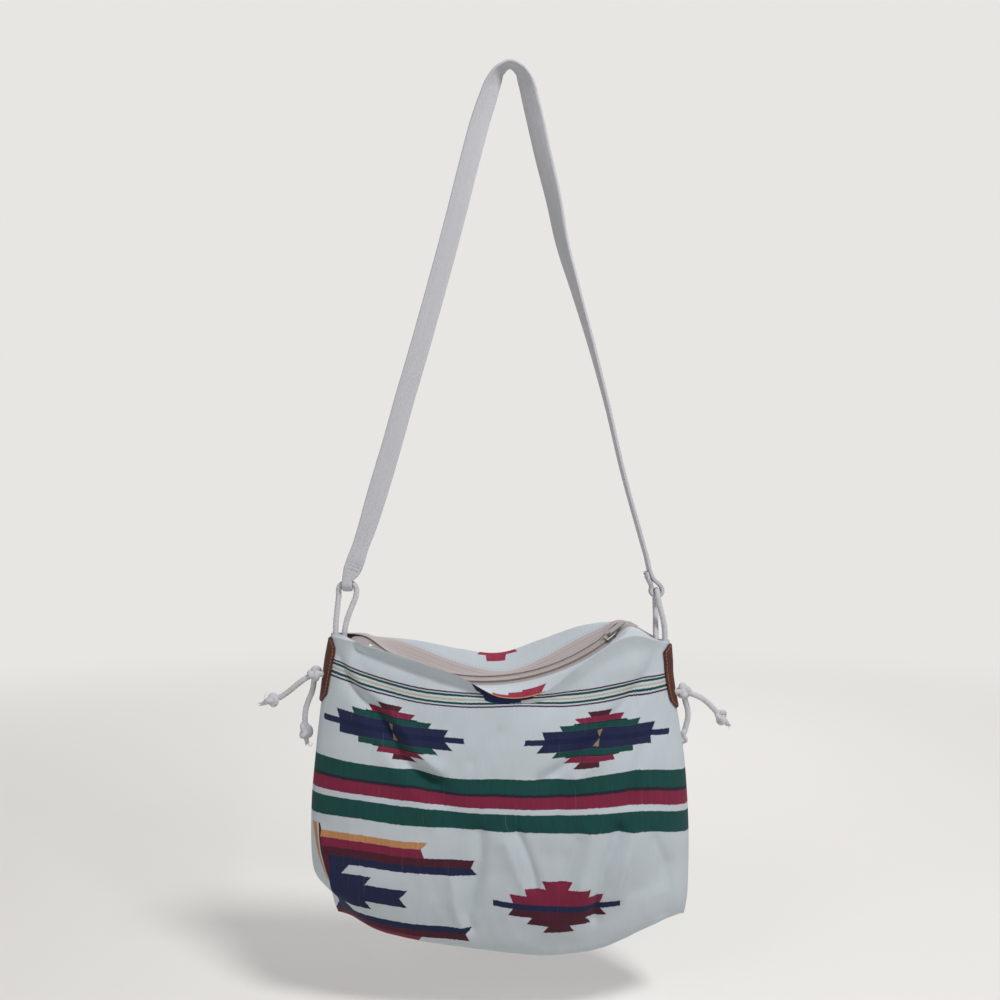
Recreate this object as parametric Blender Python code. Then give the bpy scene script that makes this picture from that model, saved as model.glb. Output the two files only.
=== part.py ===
"""Zip-top canvas shoulder bag, hung by its webbing strap.

Metres, +Z up, the front of the bag faces -Y. The origin is the underside of the strap's top bend,
where a nail or hook would carry it.
"""

import bpy
import bmesh
import math
import numpy as np
from mathutils import Vector

# Clearances and materials' thicknesses
GAP = 0.0003
CANVAS = 0.0009
LEATHER = 0.0016
TAPE_THICKNESS = 0.0008

# Webbing strap
STRAP_WIDTH = 0.0195
STRAP_THICKNESS = 0.0042

# Cord, and the knots tied in it
CORD_DIAMETER = 0.0056
CORD_ROOM = 0.0006

# Leather tabs over the side seams, with the hole that the cord leaves by
TAB_LENGTH = 0.0600
TAB_HALF_WIDTH = 0.0130
TAB_END_HALF_WIDTH = 0.0060
TAB_CHAMFER = 0.0080
TAB_TOP_DROP = 0.0035
HOLE_DROP = {"left": 0.0350, "right": 0.0455}
HOLE_Y = -0.0075
TAB_ROOM = 0.0006
TAB_LOOK = 0.0020
TAB_SHARES = (-1.0, -0.72, -0.44, -0.18, 0.0, 0.18, 0.44, 0.72, 1.0)
HOLE_WIDTH = 0.0136
HOLE_HEIGHT = 0.0080
CUTTER_LENGTH = 0.0160

# Zip: its line is an arc of a circle in a plane that leans back
ZIP_RADIUS = 0.1963
ZIP_CENTRE = Vector((-0.0252, 0.0494, -0.4118))
ZIP_LEAN = math.radians(22.1)
ZIP_LEFT = math.radians(-33.5)
ZIP_RIGHT = math.radians(40.0)
TAPE_END = 0.0080
TAPE_HALF_WIDTH = 0.0110
TAPE_SLANT = math.radians(45.0)
COIL_HALF_WIDTH = 0.0024
COIL_HEIGHT = 0.0019
FACING_OVERLAP = 0.0025
FACING_ROOM = 0.0003
FACING_FLANK = 0.0022
FACING_BEYOND = 0.0060
FACING_CROWN = 0.0010
STOP_LENGTH = 0.0030

# Slider and pull
SLIDER_LENGTH = 0.0100
SLIDER_WALL = 0.0013
SLIDER_ROOM = 0.0005
LUG_WIDTH = 0.0024
LUG_HEIGHT = 0.0034
LUG_LENGTH = 0.0040
PIN_DIAMETER = 0.0012
SLIDER_BEVEL = 0.0005
PULL_LENGTH = 0.0200
PULL_WIDTH = 0.0060
PULL_THICKNESS = 0.0012

# How finely round pieces and the cloth are divided
ROUND_SIDES = 12
FRONT_COLUMNS = 42
FRONT_STEPS = (1, 2, 3, 2, 3, 4, 3, 2, 1)
BACK_COLUMNS = 36
BACK_STEPS = (1, 1, 2, 1, 2, 3, 2, 1, 1)
ROW_SAMPLES = 240
SEAM_STEP = 0.0036
SEAM_COLUMNS = 3
ZIP_STEPS = 22

# Top corners of the bag, where the cords go in
CORNER_RISE = 0.0030
CORNER_DEPTH = 0.0062
CORNER_REACH = 0.0080

# Each row is a line of the cloth from seam to seam: seam X left and right, seam Y, how far the row
# bulges from the seams, its roundness (two exponents), and its height at nine even stations.
FRONT_LINES = (
    ("lip", -0.1728, 0.1540, -0.006, 0.051, 1.5, 0.62,
     (-0.5525, -0.5585, -0.5700, -0.5825, -0.6020, -0.5980, -0.5695, -0.5495, -0.5590)),
    ("under the lip", -0.1750, 0.1550, -0.007, 0.0480, 1.5, 0.62,
     (-0.5640, -0.5745, -0.5860, -0.5965, -0.6075, -0.6055, -0.5890, -0.5730, -0.5760)),
    ("thin stripes", -0.1773, 0.1559, -0.008, 0.048, 1.6, 0.62,
     (-0.5789, -0.5910, -0.6010, -0.6070, -0.6125, -0.6110, -0.6050, -0.5985, -0.5934)),
    ("upper motifs", -0.1824, 0.1630, -0.012, 0.052, 1.9, 0.55,
     (-0.6253, -0.6305, -0.6375, -0.6405, -0.6425, -0.6425, -0.6405, -0.6385, -0.6388)),
    ("wide band top", -0.1852, 0.1668, -0.018, 0.052, 2.2, 0.50,
     (-0.6604, -0.6650, -0.6725, -0.6745, -0.6745, -0.6765, -0.6735, -0.6705, -0.6757)),
    ("wide band foot", -0.1880, 0.1686, -0.024, 0.052, 2.6, 0.45,
     (-0.7112, -0.7110, -0.7150, -0.7170, -0.7200, -0.7212, -0.7225, -0.7235, -0.7301)),
    ("lower motifs", -0.1851, 0.1669, -0.028, 0.046, 3.0, 0.40,
     (-0.7650, -0.7720, -0.7790, -0.7835, -0.7863, -0.7884, -0.7870, -0.7830, -0.7830)),
    ("bottom edge", -0.1700, 0.1652, -0.028, 0.036, 3.2, 0.40,
     (-0.7850, -0.8085, -0.8190, -0.8250, -0.8305, -0.8330, -0.8275, -0.8120, -0.8000)),
    ("underside", -0.1655, 0.1646, -0.028, 0.020, 3.2, 0.40,
     (-0.8010, -0.8200, -0.8280, -0.8330, -0.8370, -0.8395, -0.8335, -0.8185, -0.8070)),
    ("bottom seam", -0.1625, 0.1638, -0.028, 0.000, 3.2, 0.40,
     (-0.8095, -0.8250, -0.8315, -0.8355, -0.8395, -0.8410, -0.8360, -0.8225, -0.8110)),
)
LIP, ROLL, THIN, MOTIF, WIDE_TOP, WIDE_FOOT, LOW, EDGE, UNDER, SEAM = range(10)

# The back hangs flat: its bulge reaches this plane, and its rows' heights at the nine stations
BACK_PLANE = 0.0110
BACK_LIP_Y = 0.0100
BACK_FLATNESS = 1.35
BACK_BELLY = 0.35
BACK_LIP = (-0.5525, -0.5545, -0.5600, -0.5665, -0.5703, -0.5600, -0.5490, -0.5430, -0.5590)

# The front lies flat by the seams and folds further in
FOLD_FREE = 0.014
FOLD_FADE = 0.016

# Folds of the front: two ends in X and Z, half-width, and how far the fold stands out
FRONT_FOLDS = (
    ((-0.158, -0.592), (-0.070, -0.684), 0.010, -0.0045),
    ((-0.150, -0.606), (-0.086, -0.684), 0.011, 0.0030),
    ((0.134, -0.590), (0.046, -0.672), 0.011, -0.0038),
    ((0.120, -0.606), (0.060, -0.668), 0.012, 0.0026),
    ((-0.176, -0.735), (-0.158, -0.812), 0.007, 0.0050),
    ((0.160, -0.745), (0.060, -0.820), 0.014, -0.0032),
    ((0.110, -0.740), (0.040, -0.800), 0.013, 0.0022),
    ((-0.060, -0.690), (-0.030, -0.790), 0.018, -0.0020),
)

# Strap route: X, Y, Z of its middle, how far its width has turned from edge-on (degrees) and its width
# as a share of the full width. It starts at the left end's hem and ends at the right end's.
LEFT_LOOP = Vector((-0.1572, -0.0025, -0.5020))
RIGHT_LOOP = Vector((0.1421, 0.0, -0.5087))
NECK_SHARE = 0.40
HEM_LENGTH = 0.0090
STRAP_LEFT = (
    (-0.1443, 0.0002, -0.4640, -90, 0.84),
    (-0.1386, 0.0010, -0.4472, -90, 0.92),
    (-0.1314, 0.0020, -0.4229, -90, 1.0),
    (-0.1138, 0.0045, -0.3626, -90, 1.0),
    (-0.1032, 0.0060, -0.3236, -90, 1.0),
    (-0.0878, 0.0070, -0.2707, -90, 1.0),
    (-0.0726, 0.0080, -0.2159, -90, 1.0),
    (-0.0541, 0.0080, -0.1472, -90, 1.0),
    (-0.0380, 0.0070, -0.0840, -84, 1.0),
    (-0.0285, 0.0050, -0.0500, -72, 1.0),
    (-0.0222, 0.0030, -0.0317, -60, 1.0),
    (-0.0160, 0.0012, -0.0150, -45, 1.0),
    (-0.0090, 0.0003, -0.0032, -20, 1.0),
)
STRAP_RIGHT = (
    (0.0088, 0.0003, -0.0030, 20, 1.0),
    (0.0150, 0.0010, -0.0140, 42, 1.0),
    (0.0212, 0.0020, -0.0370, 51, 1.0),
    (0.0320, 0.0030, -0.0840, 50, 1.0),
    (0.0430, 0.0030, -0.1300, 42, 1.0),
    (0.0505, 0.0030, -0.1687, 32, 1.0),
    (0.0641, 0.0020, -0.2172, 18, 1.0),
    (0.0796, 0.0010, -0.2716, 8, 1.0),
    (0.0932, 0.0, -0.3240, 2, 1.0),
    (0.1111, 0.0, -0.3997, 0, 1.0),
    (0.1242, 0.0, -0.4472, 0, 0.95),
    (0.1318, 0.0, -0.4740, 0, 0.88),
)
LOOP_WIDTH = 0.0062
STRAP_SECTION = ((-1, -0.5), (-0.94, -1), (0.94, -1), (1, -0.5), (1, 0.5), (0.94, 1), (-0.94, 1), (-1, 0.5))

# Cord routes, seen along the cord: from inside the stopper knot up to the strap's loop
LEFT_CORD_OUT = (
    (-0.1880, -0.0106, -0.5880), (-0.1740, -0.0106, -0.5880), (-0.1690, -0.0106, -0.5873),
    (-0.1652, -0.0104, -0.5840), (-0.1638, -0.0100, -0.5780), (-0.1645, -0.0090, -0.5710),
    (-0.1668, -0.0068, -0.5600), (-0.1682, -0.0060, -0.5490), (-0.1680, -0.0050, -0.5380),
    (-0.1668, -0.0034, -0.5240), (-0.1658, -0.0026, -0.5130), (-0.1657, -0.0025, -0.5075),
    (-0.1650, -0.0025, -0.5047), (-0.1631, -0.0025, -0.5027), (-0.1604, -0.0025, -0.5020),
)
LEFT_CORD_BACK = (
    (-0.1540, -0.0025, -0.5020), (-0.1513, -0.0025, -0.5027), (-0.1494, -0.0025, -0.5047),
    (-0.1487, -0.0025, -0.5075), (-0.1490, -0.0026, -0.5130), (-0.1530, -0.0034, -0.5240),
    (-0.1578, -0.0050, -0.5380), (-0.1597, -0.0060, -0.5490), (-0.1600, -0.0055, -0.5600),
    (-0.1590, -0.0046, -0.5700), (-0.1588, -0.0042, -0.5780), (-0.1606, -0.0044, -0.5845),
    (-0.1650, -0.0044, -0.5875), (-0.1700, -0.0044, -0.5880), (-0.1880, -0.0044, -0.5880),
)
RIGHT_CORD_OUT = (
    (0.1700, -0.0106, -0.6050), (0.1560, -0.0106, -0.6050), (0.1500, -0.0106, -0.6043),
    (0.1457, -0.0105, -0.6008), (0.1440, -0.0103, -0.5945), (0.1440, -0.0098, -0.5860),
    (0.1450, -0.0090, -0.5765), (0.1474, -0.0074, -0.5660), (0.1493, -0.0060, -0.5560),
    (0.1490, -0.0066, -0.5450), (0.1462, -0.0080, -0.5310), (0.1434, -0.0086, -0.5205),
    (0.1424, -0.0085, -0.5142), (0.1422, -0.0078, -0.5114), (0.1421, -0.0059, -0.5094),
    (0.1421, -0.0032, -0.5087),
)
RIGHT_CORD_BACK = (
    (0.1421, 0.0032, -0.5087), (0.1421, 0.0059, -0.5094), (0.1421, 0.0078, -0.5114),
    (0.1421, 0.0085, -0.5142), (0.1421, 0.0082, -0.5205), (0.1420, 0.0050, -0.5310),
    (0.1412, -0.0010, -0.5450), (0.1408, -0.0056, -0.5560), (0.1406, -0.0054, -0.5660),
    (0.1396, -0.0046, -0.5770), (0.1388, -0.0042, -0.5870), (0.1388, -0.0042, -0.5955),
    (0.1410, -0.0044, -0.6018), (0.1455, -0.0044, -0.6046), (0.1510, -0.0044, -0.6050),
    (0.1700, -0.0044, -0.6050),
)
KNOT_SIZE = Vector((0.0074, 0.0076, 0.0082))
KNOT_SWELL = 0.05
KNOT_GAP = 0.0005
PAIR_GAP = 0.0016

# Tails: route, then the size of the knot at its end (half of each side)
TAILS = (
    ("left_front", ((-0.1990, -0.0086, -0.5940), (-0.2060, -0.0074, -0.5995), (-0.2140, -0.0054, -0.6060),
                    (-0.2215, -0.0040, -0.6112)),
     (-0.2298, -0.0036, -0.6143), (0.0080, 0.0066, 0.0070)),
    ("left_back", ((-0.1900, -0.0030, -0.5990), (-0.1920, -0.0004, -0.6070), (-0.1958, 0.0010, -0.6160),
                   (-0.1985, 0.0014, -0.6250), (-0.1992, 0.0014, -0.6345)),
     (-0.1984, 0.0014, -0.6450), (0.0074, 0.0064, 0.0088)),
    ("right_front", ((0.1772, -0.0100, -0.6082), (0.1830, -0.0096, -0.6108), (0.1900, -0.0080, -0.6160),
                     (0.1972, -0.0060, -0.6232)),
     (0.2035, -0.0050, -0.6300), (0.0062, 0.0060, 0.0086)),
    ("right_back", ((0.1692, -0.0052, -0.6152), (0.1716, -0.0040, -0.6235), (0.1720, -0.0034, -0.6315),
                    (0.1702, -0.0032, -0.6395)),
     (0.1672, -0.0032, -0.6500), (0.0050, 0.0056, 0.0076)),
)

COLOURS = {
    "canvas": ((0.58, 0.59, 0.60), 0.85, 0.0),
    "zip tape": ((0.56, 0.50, 0.48), 0.80, 0.0),
    "zip coil": ((0.62, 0.58, 0.56), 0.45, 0.0),
    "zip metal": ((0.55, 0.55, 0.56), 0.35, 1.0),
    "leather": ((0.155, 0.047, 0.019), 0.50, 0.0),
    "webbing": ((0.58, 0.58, 0.62), 0.80, 0.0),
    "cord": ((0.56, 0.56, 0.57), 0.85, 0.0),
}


def clear_scene():
    for old in list(bpy.data.objects):
        bpy.data.objects.remove(old, do_unlink=True)


def material(name):
    found = bpy.data.materials.get(name)
    if found:
        return found
    colour, roughness, metallic = COLOURS[name]
    made = bpy.data.materials.new(name)
    made.use_nodes = True
    shader = made.node_tree.nodes["Principled BSDF"]
    shader.inputs["Base Color"].default_value = (*colour, 1.0)
    shader.inputs["Roughness"].default_value = roughness
    shader.inputs["Metallic"].default_value = metallic
    return made


def add_object(name, vertices, faces, look, smooth=True, origin=(0.0, 0.0, 0.0)):
    """A mesh object. Its vertices are world places, and its own origin may lie on a joint's axis."""
    mesh = bpy.data.meshes.new(name)
    mesh.from_pydata([tuple(Vector(v) - Vector(origin)) for v in vertices], [], faces)
    shell = bmesh.new()
    shell.from_mesh(mesh)
    bmesh.ops.recalc_face_normals(shell, faces=shell.faces)
    shell.to_mesh(mesh)
    shell.free()
    if smooth:
        mesh.shade_smooth()
        mesh.set_sharp_from_angle(angle=math.radians(40))
    made = bpy.data.objects.new(name, mesh)
    made.location = origin
    bpy.context.scene.collection.objects.link(made)
    mesh.materials.append(material(look))
    return made


def hide_tool(made):
    """A cutter or an added lump that a Boolean uses: it isn't a piece of its own."""
    made.hide_render = True
    made.display_type = "WIRE"
    return made


def prism(name, ring_a, ring_b, look, origin=(0.0, 0.0, 0.0)):
    """A closed body between two rings of as many points."""
    count = len(ring_a)
    faces = [(k, (k + 1) % count, count + (k + 1) % count, count + k) for k in range(count)]
    faces += [tuple(range(count)), tuple(range(2 * count - 1, count - 1, -1))]
    return add_object(name, list(ring_a) + list(ring_b), faces, look, smooth=False, origin=origin)


def join_or_cut(target, other, operation):
    modifier = target.modifiers.new(other.name, "BOOLEAN")
    modifier.operation = operation
    modifier.solver = "EXACT"
    modifier.object = hide_tool(other)


def through(values, place):
    """A smooth curve through evenly spaced values, read at place (0 is the first, 1 the next)."""
    values = np.asarray(values, float)
    last = len(values) - 1
    k = min(max(int(math.floor(place)), 0), last - 1)
    t = place - k
    a = values[max(k - 1, 0)]
    b = values[k]
    c = values[k + 1]
    d = values[min(k + 2, last)]
    return b + 0.5 * t * (c - a + t * (2 * a - 5 * b + 4 * c - d + t * (3 * (b - c) + d - a)))


def even(points, count):
    """count + 1 points at even lengths along a polyline."""
    points = np.asarray(points, float)
    steps = np.linalg.norm(np.diff(points, axis=0), axis=1)
    along = np.concatenate(([0.0], np.cumsum(steps)))
    wanted = np.linspace(0.0, along[-1], count + 1)
    return np.stack([np.interp(wanted, along, points[:, i]) for i in range(3)], axis=1)


def columns_of(points, count):
    """count + 1 points along a row: closer together by the seams, where the cloth turns round the cords."""
    fine = even(points, ROW_SAMPLES)
    length = float(np.sum(np.linalg.norm(np.diff(fine, axis=0), axis=1)))
    edge = SEAM_STEP * np.arange(SEAM_COLUMNS)
    inset = SEAM_COLUMNS * SEAM_STEP
    middle = np.linspace(inset, length - inset, count + 1 - 2 * SEAM_COLUMNS)
    wanted = np.concatenate((edge, middle, length - edge[::-1])) / length * ROW_SAMPLES
    return np.stack([np.interp(wanted, np.arange(ROW_SAMPLES + 1), fine[:, i]) for i in range(3)], axis=1)


def smooth_route(points, per_span=60):
    """A smooth curve through unevenly spaced points. Only the first three values of each set the spacing."""
    points = np.asarray(points, float)
    spans = np.linalg.norm(np.diff(points[:, :3], axis=0), axis=1)
    slopes = np.diff(points, axis=0) / spans[:, None]
    ways = np.empty_like(points)
    ways[0], ways[-1] = slopes[0], slopes[-1]
    before, after = spans[:-1, None], spans[1:, None]
    ways[1:-1] = (slopes[:-1] * after + slopes[1:] * before) / (before + after)
    fine = []
    for k, span in enumerate(spans):
        for step in range(per_span):
            t = step / per_span
            fine.append(points[k] * (1 + 2 * t) * (1 - t) ** 2 + ways[k] * span * t * (1 - t) ** 2
                        + points[k + 1] * t * t * (3 - 2 * t) + ways[k + 1] * span * t * t * (t - 1))
    fine.append(points[-1])
    return np.array(fine)


def line_at(place, face):
    """The row of cloth at a place between FRONT_LINES, as a fine polyline from the left seam to the right."""
    left, right, seam, bulge, round_a, round_b = (
        through([line[k] for line in FRONT_LINES], place) for k in range(1, 7)
    )
    heights = through([line[7] for line in FRONT_LINES], place)
    if face == "back":
        bulge, round_a, round_b = back_bulge(place, seam), 3.0, 0.40
        heights = back_heights(place)
    middle, half = (left + right) / 2, (right - left) / 2
    points = []
    for turn in np.linspace(0.0, math.pi, ROW_SAMPLES + 1):
        s = -math.cos(turn)
        out = bulge * max(1 - abs(s) ** round_a, 0.0) ** round_b
        z = through(heights, (s + 1) / 2 * (len(heights) - 1))
        if face == "front":
            y = seam - GAP / 2 - out
            y -= folds(middle + half * s, z) * min(1.0, max(0.0, (out - FOLD_FREE) / FOLD_FADE))
        else:
            y = seam + GAP / 2 + min(out * BACK_FLATNESS, bulge)
        points.append((middle + half * s, y, z))
    return np.array(points)


def back_bulge(place, seam):
    depth = BACK_LIP_Y + (BACK_PLANE - BACK_LIP_Y) * min(place / MOTIF, 1.0)
    closing = min(max((place - EDGE) / (SEAM - EDGE), 0.0), 1.0)
    return (depth - seam) * (1 - closing)


def back_heights(place):
    """The back's lip as measured, and rows that level out below it."""
    return through(np.array([BACK_LIP] + [level(row) for row in range(ROLL, SEAM + 1)]), place)


def level(row):
    """A row's heights on the back: most of its belly taken out, but not at the bottom seam."""
    heights = np.array(FRONT_LINES[row][7])
    straight = np.linspace(heights[0], heights[-1], len(heights))
    kept = BACK_BELLY + (1 - BACK_BELLY) * max(row - LOW, 0) / (SEAM - LOW)
    return straight + kept * (heights - straight)


def folds(x, z):
    total = 0.0
    for (ax, az), (bx, bz), width, height in FRONT_FOLDS:
        dx, dz = bx - ax, bz - az
        length = math.hypot(dx, dz)
        along = ((x - ax) * dx + (z - az) * dz) / length
        off = ((x - ax) * dz - (z - az) * dx) / length
        past = max(-along, along - length, 0.0)
        total += height * math.exp(-(off / width) ** 2 - (past / (1.6 * width)) ** 2)
    return total


def zip_frame(angle):
    """Point on the zip's line, and its directions: along, across (to the front) and up."""
    down = Vector((0.0, -math.sin(ZIP_LEAN), -math.cos(ZIP_LEAN)))
    ahead = Vector((0.0, -math.cos(ZIP_LEAN), math.sin(ZIP_LEAN)))
    out = Vector((math.sin(angle), 0.0, 0.0)) + math.cos(angle) * down
    along = Vector((math.cos(angle), 0.0, 0.0)) - math.sin(angle) * down
    across = math.cos(TAPE_SLANT) * ahead + math.sin(TAPE_SLANT) * out
    up = math.sin(TAPE_SLANT) * ahead - math.cos(TAPE_SLANT) * out
    return ZIP_CENTRE + ZIP_RADIUS * out, along, across, up


def zip_point(angle, across, up):
    point, _, across_way, up_way = zip_frame(angle)
    return point + across * across_way + up * up_way


def mouth_line(side, across, up, drop):
    """A line of the facing beside the zip tape, drawn out to both top corners. side: 1 front, -1 back."""
    lip = FRONT_LINES[LIP]
    line = []
    for x, z, inward in ((lip[1], lip[7][0], 1), (lip[2], lip[7][-1], -1)):
        top = z + CORNER_RISE - drop
        corner = []
        for turn in (0, 22, 45, 68, 90):
            reach = CORNER_REACH * (1 - math.cos(math.radians(turn)))
            depth = CORNER_DEPTH * math.sin(math.radians(turn))
            corner.append((x + inward * reach, lip[3] - side * (GAP / 2 + depth), top))
        line.append(corner)
    reach = (TAPE_END + FACING_BEYOND) / ZIP_RADIUS
    angles = np.linspace(ZIP_LEFT - reach, ZIP_RIGHT + reach, 11)
    middle = [tuple(zip_point(a, side * across, up)) for a in angles]
    return smooth_route(line[0] + middle + line[1][::-1], 12)


def sheet_rows(face, columns, steps):
    """Rows of the outer surface of one canvas panel, from its hem inside the mouth to the bottom seam."""
    side = 1 if face == "front" else -1
    clear = TAPE_THICKNESS / 2 + GAP + CANVAS + FACING_ROOM
    hem = mouth_line(side, TAPE_HALF_WIDTH - FACING_OVERLAP, clear, 0.0)
    flank = mouth_line(side, TAPE_HALF_WIDTH + FACING_FLANK, clear, CORNER_RISE / 3)
    lip = columns_of(line_at(LIP, face), columns)
    grid = [columns_of(hem, columns), columns_of(flank, columns)]
    from_seam = np.minimum(np.arange(columns + 1), columns - np.arange(columns + 1))
    crown = FACING_CROWN * np.clip((from_seam - SEAM_COLUMNS) / SEAM_COLUMNS, 0.0, 1.0)
    grid.append((grid[1] + lip) / 2 + crown[:, None] * np.array((0.0, 0.0, 1.0)))
    for line, count in enumerate(steps):
        for k in range(count):
            grid.append(columns_of(line_at(line + k / count, face), columns))
    grid.append(columns_of(line_at(SEAM, face), columns))
    return np.array(grid)


def outward(grid, face):
    """How far to go out from each point of a grid to clear its sheet by one thickness: longer at a fold."""
    across = np.gradient(grid, axis=1)
    steps = np.diff(grid, axis=0)
    before = np.concatenate((steps[:1], steps))
    after = np.concatenate((steps, steps[-1:]))
    ways = []
    for step in (before, after):
        way = np.cross(step, across) if face == "front" else np.cross(across, step)
        ways.append(way / (np.linalg.norm(way, axis=2, keepdims=True) + 1e-12))
    agree = np.sum(ways[0] * ways[1], axis=2, keepdims=True)
    out = (ways[0] + ways[1]) / np.maximum(1 + agree, 0.45)
    for column, x in ((0, -1.0), (-1, 1.0)):
        out[:, column] = (x, 0.0, 0.0)
    out[-1] = (0.0, 0.0, -1.0)
    out[-1, 0] = (-0.7, 0.0, -0.7)
    out[-1, -1] = (0.7, 0.0, -0.7)
    return out


def thick_sheet(name, outer, inner, look):
    """A closed sheet between two grids of points."""
    rows, columns = outer.shape[:2]
    vertices = [tuple(p) for p in outer.reshape(-1, 3)] + [tuple(p) for p in inner.reshape(-1, 3)]
    under = rows * columns

    def at(row, column):
        return row * columns + column

    faces = []
    for row in range(rows - 1):
        for column in range(columns - 1):
            a, b = at(row, column), at(row, column + 1)
            c, d = at(row + 1, column + 1), at(row + 1, column)
            for half in ((a, b, c), (a, c, d)):
                faces.append(half)
                faces.append(tuple(under + k for k in reversed(half)))
    for row in range(rows - 1):
        for column in (0, columns - 1):
            a, b = at(row, column), at(row + 1, column)
            faces.append((a, b, under + b, under + a) if column == 0 else (b, a, under + a, under + b))
    for column in range(columns - 1):
        for row in (0, rows - 1):
            a, b = at(row, column), at(row, column + 1)
            faces.append((b, a, under + a, under + b) if row == 0 else (a, b, under + b, under + a))
    return add_object(name, vertices, faces, look)


def panel(face, columns, steps):
    outer = sheet_rows(face, columns, steps)
    inner = outer - outward(outer, face) * CANVAS
    return thick_sheet(f"canvas_{face}", outer, inner, "canvas")


def seam_place(side, height):
    """Where along FRONT_LINES a side seam passes a height."""
    end = 0 if side == "left" else -1
    heights = [through([line[7][end] for line in FRONT_LINES], k / 20) for k in range(SEAM * 20 + 1)]
    return float(np.interp(-height, [-h for h in heights], [k / 20 for k in range(SEAM * 20 + 1)]))


def around_seam(side, height, distance):
    """A point on the canvas at a distance round from the side seam (positive at the front), and its way out."""
    place = seam_place(side, height)
    face = "front" if distance >= 0 else "back"
    line = line_at(place, face)
    if side == "right":
        line = line[::-1]
    steps = np.linalg.norm(np.diff(line, axis=0), axis=1)
    along = np.concatenate(([0.0], np.cumsum(steps)))
    at = np.array([np.interp(abs(distance), along, line[:, i]) for i in range(3)])
    ahead = np.array([np.interp(abs(distance) + TAB_LOOK, along, line[:, i]) for i in range(3)])
    way = ahead - at
    out = np.array((-way[1], way[0], 0.0)) if (side == "right") == (face == "front") else \
        np.array((way[1], -way[0], 0.0))
    out /= np.linalg.norm(out)
    if abs(distance) < 1e-9:
        out = np.array((-1.0 if side == "left" else 1.0, 0.0, 0.0))
    return at, out


def tab_half_width(drop):
    """Half the tab's width at a distance below its top: full, with cut corners at both ends."""
    from_end = min(drop, TAB_LENGTH - drop)
    share = min(from_end / TAB_CHAMFER, 1.0)
    return TAB_END_HALF_WIDTH + (TAB_HALF_WIDTH - TAB_END_HALF_WIDTH) * share


def tab_top(side):
    lip = FRONT_LINES[LIP][7]
    return (lip[0] if side == "left" else lip[-1]) - TAB_TOP_DROP + CORNER_RISE


def leather_tab(side):
    """A patch wrapped round the side seam, clear of the canvas by GAP."""
    top = tab_top(side)
    drops = [0.0, TAB_CHAMFER / 2] + list(np.linspace(TAB_CHAMFER, TAB_LENGTH - TAB_CHAMFER, 9))
    drops += [TAB_LENGTH - TAB_CHAMFER / 2, TAB_LENGTH]
    outer, inner = [], []
    for drop in drops:
        half = tab_half_width(drop)
        row = [around_seam(side, top - drop, share * half) for share in TAB_SHARES]
        inner.append([p + n * TAB_ROOM for p, n in row])
        outer.append([p + n * (TAB_ROOM + LEATHER) for p, n in row])
    return thick_sheet(f"leather_tab_{side}", np.array(outer), np.array(inner), "leather")


def hole_centre(side):
    height = tab_top(side) - HOLE_DROP[side]
    at, _ = around_seam(side, height, 0.0)
    return Vector((at[0], HOLE_Y, height))


def hole_cutter(side):
    """An oval prism along X at the hole's centre."""
    centre = hole_centre(side)
    straight = HOLE_WIDTH / 2 - HOLE_HEIGHT / 2
    rings = []
    for end in (-0.5, 0.5):
        ring = []
        for k in range(ROUND_SIDES):
            turn = 2 * math.pi * (k + 0.5) / ROUND_SIDES
            y = math.copysign(straight, math.cos(turn)) + HOLE_HEIGHT / 2 * math.cos(turn)
            ring.append(centre + Vector((end * CUTTER_LENGTH, y, HOLE_HEIGHT / 2 * math.sin(turn))))
        rings.append(ring)
    return prism(f"hole_{side}", *rings, "leather")


def strip(name, first, last, outline, steps, look):
    """A bar of constant section along the zip. outline: (across, up) points, in order round it."""
    vertices, faces = [], []
    for angle in np.linspace(first, last, steps + 1):
        vertices += [zip_point(angle, a, u) for a, u in outline]
    count = len(outline)
    for step in range(steps):
        for k in range(count):
            a, b = step * count + k, step * count + (k + 1) % count
            faces.append((a, b, b + count, a + count))
    end = steps * count
    faces += [tuple(range(count)), tuple(range(end + count - 1, end - 1, -1))]
    return add_object(name, vertices, faces, look)


def zip_pieces():
    beyond = TAPE_END / ZIP_RADIUS
    half = TAPE_THICKNESS / 2
    for face, side in (("front", 1), ("back", -1)):
        tape = [(side * GAP / 2, -half), (side * TAPE_HALF_WIDTH, -half),
                (side * TAPE_HALF_WIDTH, half), (side * GAP / 2, half)]
        strip(f"zip_tape_{face}", ZIP_LEFT - beyond, ZIP_RIGHT + beyond, tape, ZIP_STEPS, "zip tape")
        foot = half + GAP
        coil = [(side * GAP / 2, foot), (side * COIL_HALF_WIDTH, foot),
                (side * COIL_HALF_WIDTH, foot + 0.5 * COIL_HEIGHT),
                (side * COIL_HALF_WIDTH * 0.72, foot + COIL_HEIGHT), (side * GAP / 2, foot + COIL_HEIGHT)]
        strip(f"zip_coil_{face}", ZIP_LEFT, ZIP_RIGHT, coil, ZIP_STEPS, "zip coil")
    for end, start, way in (("left", ZIP_LEFT, -1), ("right", ZIP_RIGHT, 1)):
        near = start + way * GAP / ZIP_RADIUS
        far = near + way * STOP_LENGTH / ZIP_RADIUS
        foot = half + GAP
        block = [(-COIL_HALF_WIDTH, foot), (COIL_HALF_WIDTH, foot),
                 (COIL_HALF_WIDTH * 0.8, foot + COIL_HEIGHT), (-COIL_HALF_WIDTH * 0.8, foot + COIL_HEIGHT)]
        strip(f"zip_stop_{end}", min(near, far), max(near, far), block, 2, "zip metal")


def slider_angle():
    return ZIP_RIGHT - (SLIDER_LENGTH / 2 + GAP) / ZIP_RADIUS


def slider_top():
    """Height of the slider's top above the zip's line."""
    return TAPE_THICKNESS / 2 + GAP + COIL_HEIGHT + SLIDER_ROOM + SLIDER_WALL


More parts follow.
